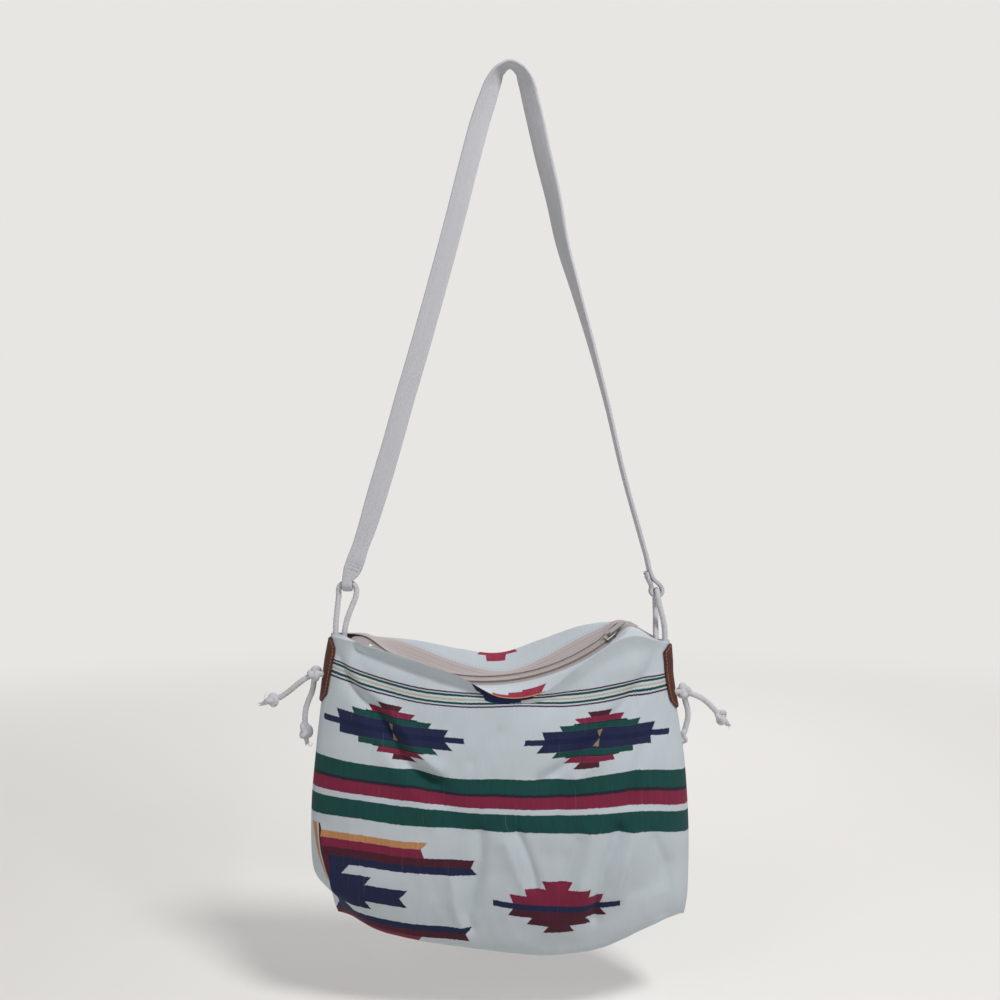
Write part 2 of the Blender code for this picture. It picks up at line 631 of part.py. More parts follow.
def pull_pivot():
    """Centre of the lug's eye: the pull turns about the across direction here."""
    point, _, _, up = zip_frame(slider_angle())
    return point + (slider_top() + LUG_HEIGHT / 2) * up


def zip_slider():
    """A channel over the coil, with a lug on top that has an eye for the pull. It turns about the zip's centre."""
    point, along, across, up = zip_frame(slider_angle())
    inner = COIL_HALF_WIDTH + SLIDER_ROOM
    outer = inner + SLIDER_WALL
    foot = TAPE_THICKNESS / 2 + GAP
    top = slider_top()
    roof = top - SLIDER_WALL
    section = [(-outer, foot), (-inner, foot), (-inner, roof), (inner, roof), (inner, foot), (outer, foot),
               (outer, top - SLIDER_BEVEL), (outer - SLIDER_BEVEL, top), (-outer + SLIDER_BEVEL, top),
               (-outer, top - SLIDER_BEVEL)]
    rings = [[point + end * SLIDER_LENGTH * along + a * across + u * up for a, u in section]
             for end in (-0.5, 0.5)]
    body = prism("zip_slider", *rings, "zip metal", origin=ZIP_CENTRE)
    corners = ((-0.5, -0.5), (0.5, -0.5), (0.5, 0.5), (-0.5, 0.5))
    rings = [[point + a * LUG_LENGTH * along + b * LUG_WIDTH * across + u * up for a, b in corners]
             for u in (top - SLIDER_WALL / 2, top + LUG_HEIGHT)]
    join_or_cut(body, prism("lug", *rings, "zip metal"), "UNION")
    join_or_cut(body, rod("lug_eye", PIN_DIAMETER / 2 + GAP, LUG_WIDTH), "DIFFERENCE")


def rod(name, radius, half_length):
    """A round rod through the lug's eye."""
    _, along, across, up = zip_frame(slider_angle())
    centre = pull_pivot()
    rings = []
    for end in (-half_length, half_length):
        turns = [2 * math.pi * k / ROUND_SIDES for k in range(ROUND_SIDES)]
        rings.append([centre + end * across + radius * (math.cos(t) * along + math.sin(t) * up) for t in turns])
    return prism(name, *rings, "zip metal")


def zip_pull():
    """A flat pull: a pin through the lug's eye, two arms beside the lug, and a rounded blade."""
    _, along, across, up = zip_frame(slider_angle())
    centre = pull_pivot()
    arm_in = LUG_WIDTH / 2 + GAP
    half = PULL_WIDTH / 2
    root = -PIN_DIAMETER / 2
    clear = LUG_LENGTH / 2 + 2 * GAP
    nose = PULL_LENGTH - half
    outline = [(root, arm_in), (clear, arm_in), (clear, -arm_in), (root, -arm_in), (root, -half)]
    for turn in (-90, -45, 0, 45, 90):
        outline.append((nose + half * math.cos(math.radians(turn)), half * math.sin(math.radians(turn))))
    outline.append((root, half))
    rings = [[centre + a * along + b * across + u * up for a, b in outline]
             for u in (-PULL_THICKNESS / 2, PULL_THICKNESS / 2)]
    blade = prism("zip_pull", *rings, "zip metal", origin=centre)
    join_or_cut(blade, rod("pull_pin", PIN_DIAMETER / 2, half - GAP), "UNION")


def strap_end(side):
    """Route from the hem's cut end, down round the loop that holds the cord, and up to the main strand."""
    centre = LEFT_LOOP if side == "left" else RIGHT_LOOP
    main = STRAP_LEFT[0] if side == "left" else STRAP_RIGHT[-1]
    turned = -90 if side == "left" else 0
    inward = Vector((0.0, -1.0, 0.0)) if side == "left" else Vector((-1.0, 0.0, 0.0))
    radius = CORD_DIAMETER / 2 + CORD_ROOM + STRAP_THICKNESS / 2
    neck = Vector(main[:3]).lerp(centre, NECK_SHARE)
    slope = (Vector(main[:3]) - centre).normalized()
    layer = STRAP_THICKNESS + 2 * GAP
    squeeze = LOOP_WIDTH / STRAP_WIDTH
    route = []
    for rise in (HEM_LENGTH, HEM_LENGTH / 2, 0.0):
        route.append((*(neck + slope * rise + inward * layer), turned, main[4]))
    for turn in (25, 0, -30, -60, -90, -120, -150, -180, -205):
        spin = math.radians(turn)
        spot = centre + radius * (math.cos(spin) * inward + math.sin(spin) * Vector((0.0, 0.0, 1.0)))
        route.append((*spot, turned, squeeze))
    route.append((*neck, turned, main[4]))
    return route


def strap():
    route = strap_end("left") + list(STRAP_LEFT) + [(0.0, 0.0, STRAP_THICKNESS / 2, 0, 1.0)]
    route += list(STRAP_RIGHT) + strap_end("right")[::-1]
    fine = smooth_route(route, 2)
    centres = fine[:, :3]
    tangents = np.gradient(centres, axis=0)
    tangents /= np.linalg.norm(tangents, axis=1, keepdims=True)
    turned = np.radians(fine[:, 3])
    wide = np.stack([np.sin(turned), -np.cos(turned), np.zeros(len(fine))], axis=1)
    wide -= tangents * np.sum(wide * tangents, axis=1, keepdims=True)
    wide /= np.linalg.norm(wide, axis=1, keepdims=True)
    thick = np.cross(tangents, wide)
    vertices, faces = [], []
    half, depth = STRAP_WIDTH / 2, STRAP_THICKNESS / 2
    for c, w, t, share in zip(centres, wide, thick, fine[:, 4]):
        for a, b in STRAP_SECTION:
            vertices.append(c + w * a * half * share + t * b * depth)
    count = len(STRAP_SECTION)
    for step in range(len(fine) - 1):
        for k in range(count):
            a, b = step * count + k, step * count + (k + 1) % count
            faces.append((a, b, b + count, a + count))
    end = (len(fine) - 1) * count
    faces += [tuple(range(count)), tuple(range(end + count - 1, end - 1, -1))]
    add_object("strap", vertices, faces, "webbing")


def tube(name, fine, spacing):
    """A cord: a round tube along a finely divided route, cut square at both ends."""
    length = float(np.sum(np.linalg.norm(np.diff(fine, axis=0), axis=1)))
    points = even(fine, max(4, round(length / spacing)))
    curve = bpy.data.curves.new(name, "CURVE")
    curve.dimensions = "3D"
    curve.bevel_depth = CORD_DIAMETER / 2
    curve.bevel_resolution = 2
    curve.use_fill_caps = True
    spline = curve.splines.new("POLY")
    spline.points.add(len(points) - 1)
    for spot, p in zip(spline.points, points):
        spot.co = (*p, 1.0)
    made = bpy.data.objects.new(name, curve)
    bpy.context.scene.collection.objects.link(made)
    curve.materials.append(material("cord"))


def knot_swell(way):
    """A knot's radius as a share of its size, towards a unit direction: three tilted bumps round it."""
    turn = math.atan2(way[1], way[0])
    return 1.0 - KNOT_SWELL * (1 + (1 - way[2] ** 2) * math.sin(3 * turn + 2.5 * way[2]))


def knot(name, centre, size):
    """A knot as one closed lump."""
    shell = bmesh.new()
    bmesh.ops.create_uvsphere(shell, u_segments=12, v_segments=8, radius=1.0)
    for v in shell.verts:
        v.co = Vector(centre) + Vector(s * c for s, c in zip(size, v.co)) * knot_swell(v.co)
    mesh = bpy.data.meshes.new(name)
    shell.to_mesh(mesh)
    shell.free()
    mesh.shade_smooth()
    mesh.materials.append(material("cord"))
    made = bpy.data.objects.new(name, mesh)
    bpy.context.scene.collection.objects.link(made)


def stop_at(fine, centre, size, first, gap):
    """The part of a finely divided route that lies outside a knot, its middle ending a gap short of it."""
    if not first:
        fine = fine[::-1]
    ways = (fine - np.array(centre)) / np.array(size)
    reach = np.linalg.norm(ways, axis=1)
    ways /= reach[:, None] + 1e-9
    surface = np.array([knot_swell(way) for way in ways]) + gap / min(size)
    kept = fine[np.argmax(reach > surface):]
    return kept if first else kept[::-1]


def stopper_centre(side):
    """The stopper knot rests on the leather round the hole."""
    hole = hole_centre(side)
    out = TAB_ROOM + LEATHER + GAP + KNOT_SIZE.x
    return Vector((hole.x + (-out if side == "left" else out), hole.y, hole.z))


def cord_loop(side, out, loop, back_way):
    centre = stopper_centre(side)
    fine = smooth_route(list(out) + [tuple(loop)] + list(back_way))
    fine = stop_at(fine, centre, KNOT_SIZE, True, PAIR_GAP)
    fine = stop_at(fine, centre, KNOT_SIZE, False, PAIR_GAP)
    tube(f"cord_loop_{side}", fine, CORD_DIAMETER * 0.75)
    knot(f"stopper_knot_{side}", centre, KNOT_SIZE)


def tail(name, route, end, size):
    centre = stopper_centre(name.split("_")[0])
    fine = smooth_route([tuple(centre)] + list(route) + [end])
    fine = stop_at(fine, end, size, False, KNOT_GAP)
    fine = stop_at(fine, centre, KNOT_SIZE, True, KNOT_GAP)
    tube(f"cord_tail_{name}", fine, CORD_DIAMETER * 1.6)
    knot(f"tail_knot_{name}", end, size)


def main():
    clear_scene()
    front = panel("front", FRONT_COLUMNS, FRONT_STEPS)
    back = panel("back", BACK_COLUMNS, BACK_STEPS)
    for side in ("left", "right"):
        cutter = hole_cutter(side)
        for target in (front, back, leather_tab(side)):
            join_or_cut(target, cutter, "DIFFERENCE")
    zip_pieces()
    zip_slider()
    zip_pull()
    strap()
    cord_loop("left", LEFT_CORD_OUT, LEFT_LOOP, LEFT_CORD_BACK)
    cord_loop("right", RIGHT_CORD_OUT, RIGHT_LOOP, RIGHT_CORD_BACK)
    for name, route, end, size in TAILS:
        tail(name, route, end, size)


main()
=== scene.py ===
import math

import bmesh
import bpy
import numpy as np
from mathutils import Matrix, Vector

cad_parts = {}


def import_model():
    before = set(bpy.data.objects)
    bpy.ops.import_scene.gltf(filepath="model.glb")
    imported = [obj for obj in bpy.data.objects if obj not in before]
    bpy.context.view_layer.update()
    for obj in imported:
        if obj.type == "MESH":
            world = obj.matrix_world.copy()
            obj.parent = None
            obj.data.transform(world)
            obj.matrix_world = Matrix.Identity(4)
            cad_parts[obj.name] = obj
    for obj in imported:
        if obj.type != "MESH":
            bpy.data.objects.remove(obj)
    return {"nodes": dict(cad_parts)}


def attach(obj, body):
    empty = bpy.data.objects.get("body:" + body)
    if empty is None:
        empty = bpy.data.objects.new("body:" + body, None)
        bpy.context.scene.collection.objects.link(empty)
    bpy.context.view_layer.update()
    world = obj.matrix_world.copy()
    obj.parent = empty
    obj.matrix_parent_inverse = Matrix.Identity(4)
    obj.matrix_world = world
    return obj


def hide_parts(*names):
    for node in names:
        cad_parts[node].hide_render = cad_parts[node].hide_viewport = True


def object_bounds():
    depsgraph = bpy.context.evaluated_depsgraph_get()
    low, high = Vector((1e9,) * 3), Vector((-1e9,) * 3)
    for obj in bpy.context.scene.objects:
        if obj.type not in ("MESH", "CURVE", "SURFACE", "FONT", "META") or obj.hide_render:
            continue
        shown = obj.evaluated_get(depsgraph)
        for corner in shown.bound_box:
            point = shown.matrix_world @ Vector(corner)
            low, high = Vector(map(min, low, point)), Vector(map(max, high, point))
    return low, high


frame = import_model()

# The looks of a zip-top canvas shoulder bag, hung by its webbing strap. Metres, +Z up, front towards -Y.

CAD_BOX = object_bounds()

# Clearances and thicknesses, as in the model
GAP = 0.0003
CANVAS = 0.0009
LEATHER = 0.0016
TAPE_THICKNESS = 0.0008
STRAP_WIDTH = 0.0195
STRAP_THICKNESS = 0.0042
CORD_DIAMETER = 0.0056
CORD_ROOM = 0.0006

# Leather tabs
TAB_LENGTH = 0.0600
TAB_HALF_WIDTH = 0.0130
TAB_END_HALF_WIDTH = 0.0060
TAB_CHAMFER = 0.0080
TAB_TOP_DROP = 0.0035
HOLE_DROP = {"left": 0.0350, "right": 0.0455}
HOLE_Y = -0.0075
TAB_ROOM = 0.0006
TAB_LOOK = 0.0020
HOLE_WIDTH = 0.0136
HOLE_HEIGHT = 0.0080
HOLE_SIDES = 28
CUTTER_LENGTH = 0.0160

# Zip
ZIP_RADIUS = 0.1963
ZIP_CENTRE = np.array((-0.0252, 0.0494, -0.4118))
ZIP_LEAN = math.radians(22.1)
ZIP_LEFT = math.radians(-33.5)
ZIP_RIGHT = math.radians(40.0)
TAPE_END = 0.0080
TAPE_HALF_WIDTH = 0.0110
TAPE_SLANT = math.radians(45.0)
COIL_HALF_WIDTH = 0.0024
COIL_HEIGHT = 0.0019
FACING_OVERLAP = 0.0025
FACING_ROOM = 0.0003
FACING_FLANK = 0.0022
FACING_BEYOND = 0.0060
FACING_CROWN = 0.0010

# Top corners of the bag
CORNER_RISE = 0.0030
CORNER_DEPTH = 0.0046
CORNER_REACH = 0.0080

# Each row is a line of the cloth from seam to seam: seam X left and right, seam Y, how far the row
# bulges from the seams, its roundness (two exponents), and its height at nine even stations.
FRONT_LINES = (
    ("lip", -0.1728, 0.1540, -0.006, 0.051, 1.5, 0.62,
     (-0.5525, -0.5585, -0.5700, -0.5825, -0.6020, -0.5980, -0.5695, -0.5495, -0.5590)),
    ("under the lip", -0.1750, 0.1550, -0.007, 0.0480, 1.5, 0.62,
     (-0.5640, -0.5745, -0.5860, -0.5965, -0.6075, -0.6055, -0.5890, -0.5730, -0.5760)),
    ("thin stripes", -0.1773, 0.1559, -0.008, 0.048, 1.6, 0.62,
     (-0.5789, -0.5910, -0.6010, -0.6070, -0.6125, -0.6110, -0.6050, -0.5985, -0.5934)),
    ("upper motifs", -0.1824, 0.1630, -0.012, 0.052, 1.9, 0.55,
     (-0.6253, -0.6305, -0.6375, -0.6405, -0.6425, -0.6425, -0.6405, -0.6385, -0.6388)),
    ("wide band top", -0.1852, 0.1668, -0.018, 0.052, 2.2, 0.50,
     (-0.6604, -0.6645, -0.6672, -0.6748, -0.6750, -0.6765, -0.6735, -0.6705, -0.6757)),
    ("wide band foot", -0.1880, 0.1686, -0.024, 0.052, 2.6, 0.45,
     (-0.7112, -0.7110, -0.7150, -0.7170, -0.7200, -0.7212, -0.7225, -0.7235, -0.7301)),
    ("lower motifs", -0.1851, 0.1669, -0.028, 0.046, 3.0, 0.40,
     (-0.7650, -0.7720, -0.7790, -0.7835, -0.7863, -0.7884, -0.7870, -0.7830, -0.7830)),
    ("bottom edge", -0.1700, 0.1652, -0.028, 0.036, 3.2, 0.40,
     (-0.7850, -0.8085, -0.8190, -0.8250, -0.8305, -0.8330, -0.8275, -0.8120, -0.8000)),
    ("underside", -0.1655, 0.1646, -0.028, 0.020, 3.2, 0.40,
     (-0.8010, -0.8200, -0.8280, -0.8330, -0.8370, -0.8395, -0.8335, -0.8185, -0.8070)),
    ("bottom seam", -0.1625, 0.1638, -0.028, 0.000, 3.2, 0.40,
     (-0.8095, -0.8250, -0.8315, -0.8355, -0.8395, -0.8410, -0.8360, -0.8225, -0.8110)),
)
LIP, ROLL, THIN, MOTIF, WIDE_TOP, WIDE_FOOT, LOW, EDGE, UNDER, SEAM = range(10)
BACK_PLANE = 0.0110
BACK_LIP_Y = 0.0100
BACK_FLATNESS = 1.35
BACK_BELLY = 0.35
BACK_LIP = (-0.5525, -0.5545, -0.5585, -0.5665, -0.5703, -0.5570, -0.5435, -0.5412, -0.5590)
FOLD_FREE = 0.014
FOLD_FADE = 0.016
CREASE_FREE = 0.007
CREASE_FADE = 0.012
CREASE_CREST = 0.8

# Folds of the front: two ends in X and Z, half-width, and how far the fold stands out
FRONT_FOLDS = (
    ((-0.158, -0.592), (-0.070, -0.684), 0.010, -0.0045),
    ((-0.150, -0.606), (-0.086, -0.684), 0.011, 0.0030),
    ((0.134, -0.590), (0.046, -0.672), 0.011, -0.0038),
    ((0.120, -0.606), (0.060, -0.668), 0.012, 0.0026),
    ((-0.176, -0.735), (-0.158, -0.812), 0.007, 0.0050),
    ((0.160, -0.745), (0.060, -0.820), 0.014, -0.0032),
    ((0.110, -0.740), (0.040, -0.800), 0.013, 0.0022),
    ((-0.060, -0.690), (-0.030, -0.790), 0.018, -0.0020),
)

# Smaller creases of the front: points in X and Z, half-width, and how far the crease stands out
CREASES = (
    (((-0.164, -0.569), (-0.151, -0.592), (-0.139, -0.606), (-0.122, -0.617), (-0.109, -0.639),
      (-0.098, -0.659), (-0.085, -0.671), (-0.066, -0.678)), 0.0045, -0.0044),
    (((-0.155, -0.579), (-0.139, -0.595), (-0.118, -0.608), (-0.101, -0.628), (-0.087, -0.651),
      (-0.065, -0.666)), 0.0070, 0.0041),
    (((0.144, -0.563), (0.129, -0.586), (0.108, -0.610), (0.082, -0.641), (0.058, -0.660),
      (0.028, -0.677)), 0.0065, -0.0048),
    (((0.149, -0.588), (0.129, -0.605), (0.102, -0.637), (0.078, -0.659),
      (0.059, -0.672)), 0.0080, 0.0037),
    (((0.130, -0.640), (0.123, -0.653), (0.115, -0.669), (0.108, -0.696)), 0.0055, -0.0031),
    (((-0.012, -0.633), (-0.024, -0.646), (-0.035, -0.660)), 0.0060, -0.0022),
    (((-0.143, -0.564), (-0.122, -0.572), (-0.093, -0.581), (-0.056, -0.592),
      (-0.030, -0.599)), 0.0075, -0.0054),
    (((0.040, -0.609), (0.062, -0.590), (0.086, -0.574), (0.112, -0.563),
      (0.133, -0.563)), 0.0120, -0.0036),
    (((0.098, -0.720), (0.092, -0.737), (0.085, -0.756), (0.079, -0.782),
      (0.076, -0.801)), 0.0055, -0.0052),
    (((0.074, -0.723), (0.071, -0.741), (0.063, -0.768)), 0.0070, 0.0040),
    (((0.112, -0.724), (0.105, -0.751), (0.097, -0.781)), 0.0060, 0.0040),
    (((0.006, -0.721), (0.012, -0.733), (0.019, -0.752), (0.024, -0.772)), 0.0038, -0.0034),
    (((-0.004, -0.731), (0.005, -0.757), (0.012, -0.773)), 0.0060, 0.0026),
    (((0.133, -0.733), (0.142, -0.756), (0.146, -0.782), (0.142, -0.802)), 0.0080, -0.0044),
    (((-0.027, -0.722), (-0.027, -0.746), (-0.033, -0.772), (-0.039, -0.795),
      (-0.037, -0.809)), 0.0060, -0.0046),
    (((-0.054, -0.761), (-0.051, -0.786), (-0.044, -0.806)), 0.0060, 0.0034),
    (((0.061, -0.730), (0.054, -0.746), (0.047, -0.766)), 0.0060, -0.0028),
)
# Creases of the back, which only go inwards from its flat plane
BACK_CREASES = (
    (((-0.158, -0.580), (-0.120, -0.632), (-0.078, -0.672)), 0.0110, 0.0054),
    (((0.142, -0.600), (0.102, -0.648), (0.060, -0.682)), 0.0110, 0.0051),
    (((-0.110, -0.725), (-0.096, -0.775), (-0.099, -0.806)), 0.0120, 0.0041),
    (((0.030, -0.700), (0.046, -0.752), (0.041, -0.806)), 0.0130, 0.0044),
    (((-0.030, -0.590), (-0.022, -0.640), (-0.034, -0.690)), 0.0150, 0.0034),
    (((0.110, -0.715), (0.122, -0.770)), 0.0110, 0.0037),
)
WRINKLES = 26
WRINKLE_HEIGHT = 0.00045
WRINKLE_LENGTHS = (0.012, 0.050)
WRINKLE_GAIN = 1.6
FOLD_TAPER = 1.6

# Fine division of the cloth
ROW_SAMPLES = 480
SEAM_STEP = 0.0012
SEAM_COLUMNS = 9
CLOTH_COLUMNS = 190
FACING_STEPS = (3, 9)
WALL_STEPS = (8, 9, 20, 20, 30, 34, 24, 9, 7)
CORNER_TURNS = (0, 22, 45, 68, 90)
LONGEST_MITRE = 0.45
PRINT_STEPS = 61
SHARP_ANGLE = math.radians(50)

# Strap route: X, Y, Z of its middle, how far its width has turned from edge-on (degrees) and its width
# as a share of the full width
LEFT_LOOP = np.array((-0.1572, -0.0025, -0.5020))
RIGHT_LOOP = np.array((0.1421, 0.0, -0.5087))
NECK_SHARE = 0.66
HEM_LENGTH = 0.0065
LOOP_WIDTH = 0.0098
STRAP_LEFT = (
    (-0.1443, 0.0002, -0.4640, -90, 0.84),
    (-0.1386, 0.0010, -0.4472, -90, 0.92),
    (-0.1314, 0.0020, -0.4229, -90, 1.0),
    (-0.1138, 0.0045, -0.3626, -90, 1.0),
    (-0.1032, 0.0060, -0.3236, -90, 1.0),
    (-0.0878, 0.0070, -0.2707, -90, 1.0),
    (-0.0726, 0.0080, -0.2159, -90, 1.0),
    (-0.0541, 0.0080, -0.1472, -90, 1.0),
    (-0.0380, 0.0070, -0.0840, -84, 1.0),
    (-0.0285, 0.0050, -0.0500, -72, 1.0),
    (-0.0222, 0.0030, -0.0317, -60, 1.0),
    (-0.0160, 0.0012, -0.0150, -45, 1.0),
    (-0.0090, 0.0003, -0.0032, -20, 1.0),
)
STRAP_RIGHT = (
    (0.0088, 0.0003, -0.0030, 20, 1.0),
    (0.0150, 0.0010, -0.0140, 42, 1.0),
    (0.0212, 0.0020, -0.0370, 51, 1.0),
    (0.0320, 0.0030, -0.0840, 50, 1.0),
    (0.0430, 0.0030, -0.1300, 42, 1.0),
    (0.0505, 0.0030, -0.1687, 32, 1.0),
    (0.0641, 0.0020, -0.2172, 18, 1.0),
    (0.0796, 0.0010, -0.2716, 8, 1.0),
    (0.0932, 0.0, -0.3240, 2, 1.0),
    (0.1111, 0.0, -0.3997, 0, 1.0),
    (0.1242, 0.0, -0.4472, 0, 0.95),
    (0.1318, 0.0, -0.4740, 0, 0.88),
)

# Cord routes, seen along the cord: from inside the stopper knot up to the strap's loop
LEFT_CORD_OUT = (
    (-0.1880, -0.0106, -0.5880), (-0.1740, -0.0106, -0.5880), (-0.1690, -0.0106, -0.5873),
    (-0.1652, -0.0104, -0.5840), (-0.1638, -0.0100, -0.5780), (-0.1645, -0.0090, -0.5710),
    (-0.1668, -0.0068, -0.5600), (-0.1682, -0.0060, -0.5490), (-0.1680, -0.0050, -0.5380),
    (-0.1668, -0.0034, -0.5240), (-0.1658, -0.0026, -0.5130), (-0.1657, -0.0025, -0.5075),
    (-0.1650, -0.0025, -0.5047), (-0.1631, -0.0025, -0.5027), (-0.1604, -0.0025, -0.5020),
)
LEFT_CORD_BACK = (
    (-0.1540, -0.0025, -0.5020), (-0.1513, -0.0025, -0.5027), (-0.1494, -0.0025, -0.5047),
    (-0.1487, -0.0025, -0.5075), (-0.1490, -0.0026, -0.5130), (-0.1530, -0.0034, -0.5240),
    (-0.1578, -0.0050, -0.5380), (-0.1597, -0.0060, -0.5490), (-0.1600, -0.0055, -0.5600),
    (-0.1590, -0.0046, -0.5700), (-0.1588, -0.0042, -0.5780), (-0.1606, -0.0044, -0.5845),
    (-0.1650, -0.0044, -0.5875), (-0.1700, -0.0044, -0.5880), (-0.1880, -0.0044, -0.5880),
)
RIGHT_CORD_OUT = (
    (0.1700, -0.0106, -0.6050), (0.1560, -0.0106, -0.6050), (0.1500, -0.0106, -0.6043),
    (0.1457, -0.0105, -0.6008), (0.1440, -0.0103, -0.5945), (0.1440, -0.0098, -0.5860),
    (0.1450, -0.0090, -0.5765), (0.1474, -0.0074, -0.5660), (0.1493, -0.0060, -0.5560),
    (0.1490, -0.0066, -0.5450), (0.1462, -0.0080, -0.5310), (0.1434, -0.0086, -0.5205),
    (0.1424, -0.0085, -0.5142), (0.1422, -0.0078, -0.5114), (0.1421, -0.0059, -0.5094),
    (0.1421, -0.0032, -0.5087),
)
RIGHT_CORD_BACK = (
    (0.1421, 0.0032, -0.5087), (0.1421, 0.0059, -0.5094), (0.1421, 0.0078, -0.5114),
    (0.1421, 0.0085, -0.5142), (0.1421, 0.0082, -0.5205), (0.1420, 0.0050, -0.5310),
    (0.1412, -0.0010, -0.5450), (0.1408, -0.0056, -0.5560), (0.1406, -0.0054, -0.5660),
    (0.1396, -0.0046, -0.5770), (0.1388, -0.0042, -0.5870), (0.1388, -0.0042, -0.5955),
    (0.1410, -0.0044, -0.6018), (0.1455, -0.0044, -0.6046), (0.1510, -0.0044, -0.6050),
    (0.1700, -0.0044, -0.6050),
)
KNOT_SIZE = (0.0074, 0.0076, 0.0082)

# Tails: route, then the middle of the knot at its end and its size (half of each side)
TAILS = (
    ("left_front", ((-0.1990, -0.0086, -0.5940), (-0.2060, -0.0074, -0.5995), (-0.2140, -0.0054, -0.6060),
                    (-0.2215, -0.0040, -0.6112)),
     (-0.2298, -0.0036, -0.6143), (0.0080, 0.0066, 0.0070)),
    ("left_back", ((-0.1900, -0.0030, -0.5990), (-0.1920, -0.0004, -0.6070), (-0.1958, 0.0010, -0.6160),
                   (-0.1985, 0.0014, -0.6250), (-0.1992, 0.0014, -0.6345)),
     (-0.1984, 0.0014, -0.6450), (0.0074, 0.0064, 0.0088)),
    ("right_front", ((0.1772, -0.0100, -0.6082), (0.1830, -0.0096, -0.6108), (0.1900, -0.0080, -0.6160),
                     (0.1972, -0.0060, -0.6232)),
     (0.2035, -0.0050, -0.6300), (0.0062, 0.0060, 0.0086)),
    ("right_back", ((0.1692, -0.0052, -0.6152), (0.1716, -0.0040, -0.6235), (0.1720, -0.0034, -0.6315),
                    (0.1702, -0.0032, -0.6395)),
     (0.1672, -0.0032, -0.6500), (0.0050, 0.0056, 0.0076)),
)

# Camera, level with the middle of the strap
CAMERA = (-0.0097, -1.05, -0.421)
LENS = 38.95
FLOOR_DROP = 0.055
FLOOR_RADIUS = 9.0
FLOOR_FADE = (0.35, 2.6)

# Light: each lamp's name, place, size and power, and the point they all face
LAMPS = (
    ("key", (0.86, -1.08, 1.15), 0.6, 31.5),
    ("fill", (-1.2, -1.5, 0.3), 1.2, 5.0),
    ("rear", (0.3, 1.8, 0.9), 1.2, 28.0),
)
LIT = (0.0, 0.0, -0.5)
WORLD_TINT = (1.0, 0.99, 0.98, 1.0)
WORLD_LIGHT = 0.27

# Colours, as they show (0 to 255)
CANVAS_GREY = (190, 198, 204)
WEBBING_GREY = (193, 193, 199)
CORD_GREY = (198, 198, 203)
COIL_GREY = (190, 180, 176)
METAL_GREY = (168, 166, 164)
THREAD_TAN = (158, 124, 98)
LEATHER_DARK = (62, 28, 20)
LEATHER_WORN = (92, 48, 34)
BACKDROP = (232, 230, 227)
FLOOR_COLOUR = (226, 224, 221)


def linear(rgb):
    """A colour as it shows (0 to 255) as the shader's own numbers."""
    shares = [c / 255 for c in rgb]
    return tuple(s / 12.92 if s <= 0.04045 else ((s + 0.055) / 1.055) ** 2.4 for s in shares) + (1.0,)


# Nodes


class Value:
    """What a node gives out, with the usual signs to reckon with it."""

    def __init__(self, nodes, socket):
        self.nodes = nodes
        self.socket = socket

    def __add__(self, other):
        return self.nodes.math("ADD", self, other)

    def __sub__(self, other):
        return self.nodes.math("SUBTRACT", self, other)

    def __mul__(self, other):
        return self.nodes.math("MULTIPLY", self, other)

    def __truediv__(self, other):
        return self.nodes.math("DIVIDE", self, other)

    def __abs__(self):
        return self.nodes.math("ABSOLUTE", self)


class Nodes:
    """Short ways to add nodes to a tree."""

    def __init__(self, tree):
        self.tree = tree

    def put(self, socket, value):
        if isinstance(value, Value):
            self.tree.links.new(value.socket, socket)
        else:
            socket.default_value = value

    def add(self, kind, inputs=(), output=0, **settings):
        """A new node's output. The node gets its settings, then its inputs by number or by name."""
        node = self.tree.nodes.new(kind)
        for name, setting in settings.items():
            setattr(node, name, setting)
        for name, value in inputs.items() if isinstance(inputs, dict) else enumerate(inputs):
            self.put(node.inputs[name], value)
        return Value(self, node.outputs[output])

    def math(self, operation, *values, clamp=False):
        return self.add("ShaderNodeMath", values, operation=operation, use_clamp=clamp)

    def waves(self, value, pitch):
        return self.math("SINE", value * (2 * math.pi / pitch))

    def vector(self, *parts):
        return self.add("ShaderNodeCombineXYZ", parts)

    def uv(self, layer="cloth"):
        place = self.add("ShaderNodeUVMap", uv_map=layer)
        return [self.add("ShaderNodeSeparateXYZ", [place], part) for part in (0, 1)]

    def place(self):
        return self.add("ShaderNodeTexCoord", output="Object")

    def noise(self, vector, scale, detail=2.0, roughness=0.5):
        inputs = {"Vector": vector, "Scale": scale, "Detail": detail, "Roughness": roughness}
        return self.add("ShaderNodeTexNoise", inputs, "Fac")

    def streaks(self, u, t, across, down, layer=0.0, detail=2.0):
        """Noise drawn out along the threads: so many patches a metre across the cloth and down it."""
        return self.noise(self.vector(u * across, t * down, layer), 1.0, detail)

    def range(self, value, low, high, out_low, out_high):
        inputs = {"Value": value, "From Min": low, "From Max": high, "To Min": out_low,
                  "To Max": out_high}
        return self.add("ShaderNodeMapRange", inputs, "Result")

    def spread(self, noise, low, high):
        """A noise's usual span as numbers from low to high."""
        return self.range(noise, 0.3, 0.7, low, high)

    def mix(self, share, a, b):
        return self.add("ShaderNodeMix", {"Factor": share, 6: a, 7: b}, 2, data_type="RGBA")

    def scaled(self, colour, share):
        """A colour, given as it shows or as a value, made lighter or darker."""
        base = colour if isinstance(colour, Value) else linear(colour)[:3]
        return self.add("ShaderNodeVectorMath", {0: base, "Scale": share}, operation="SCALE")


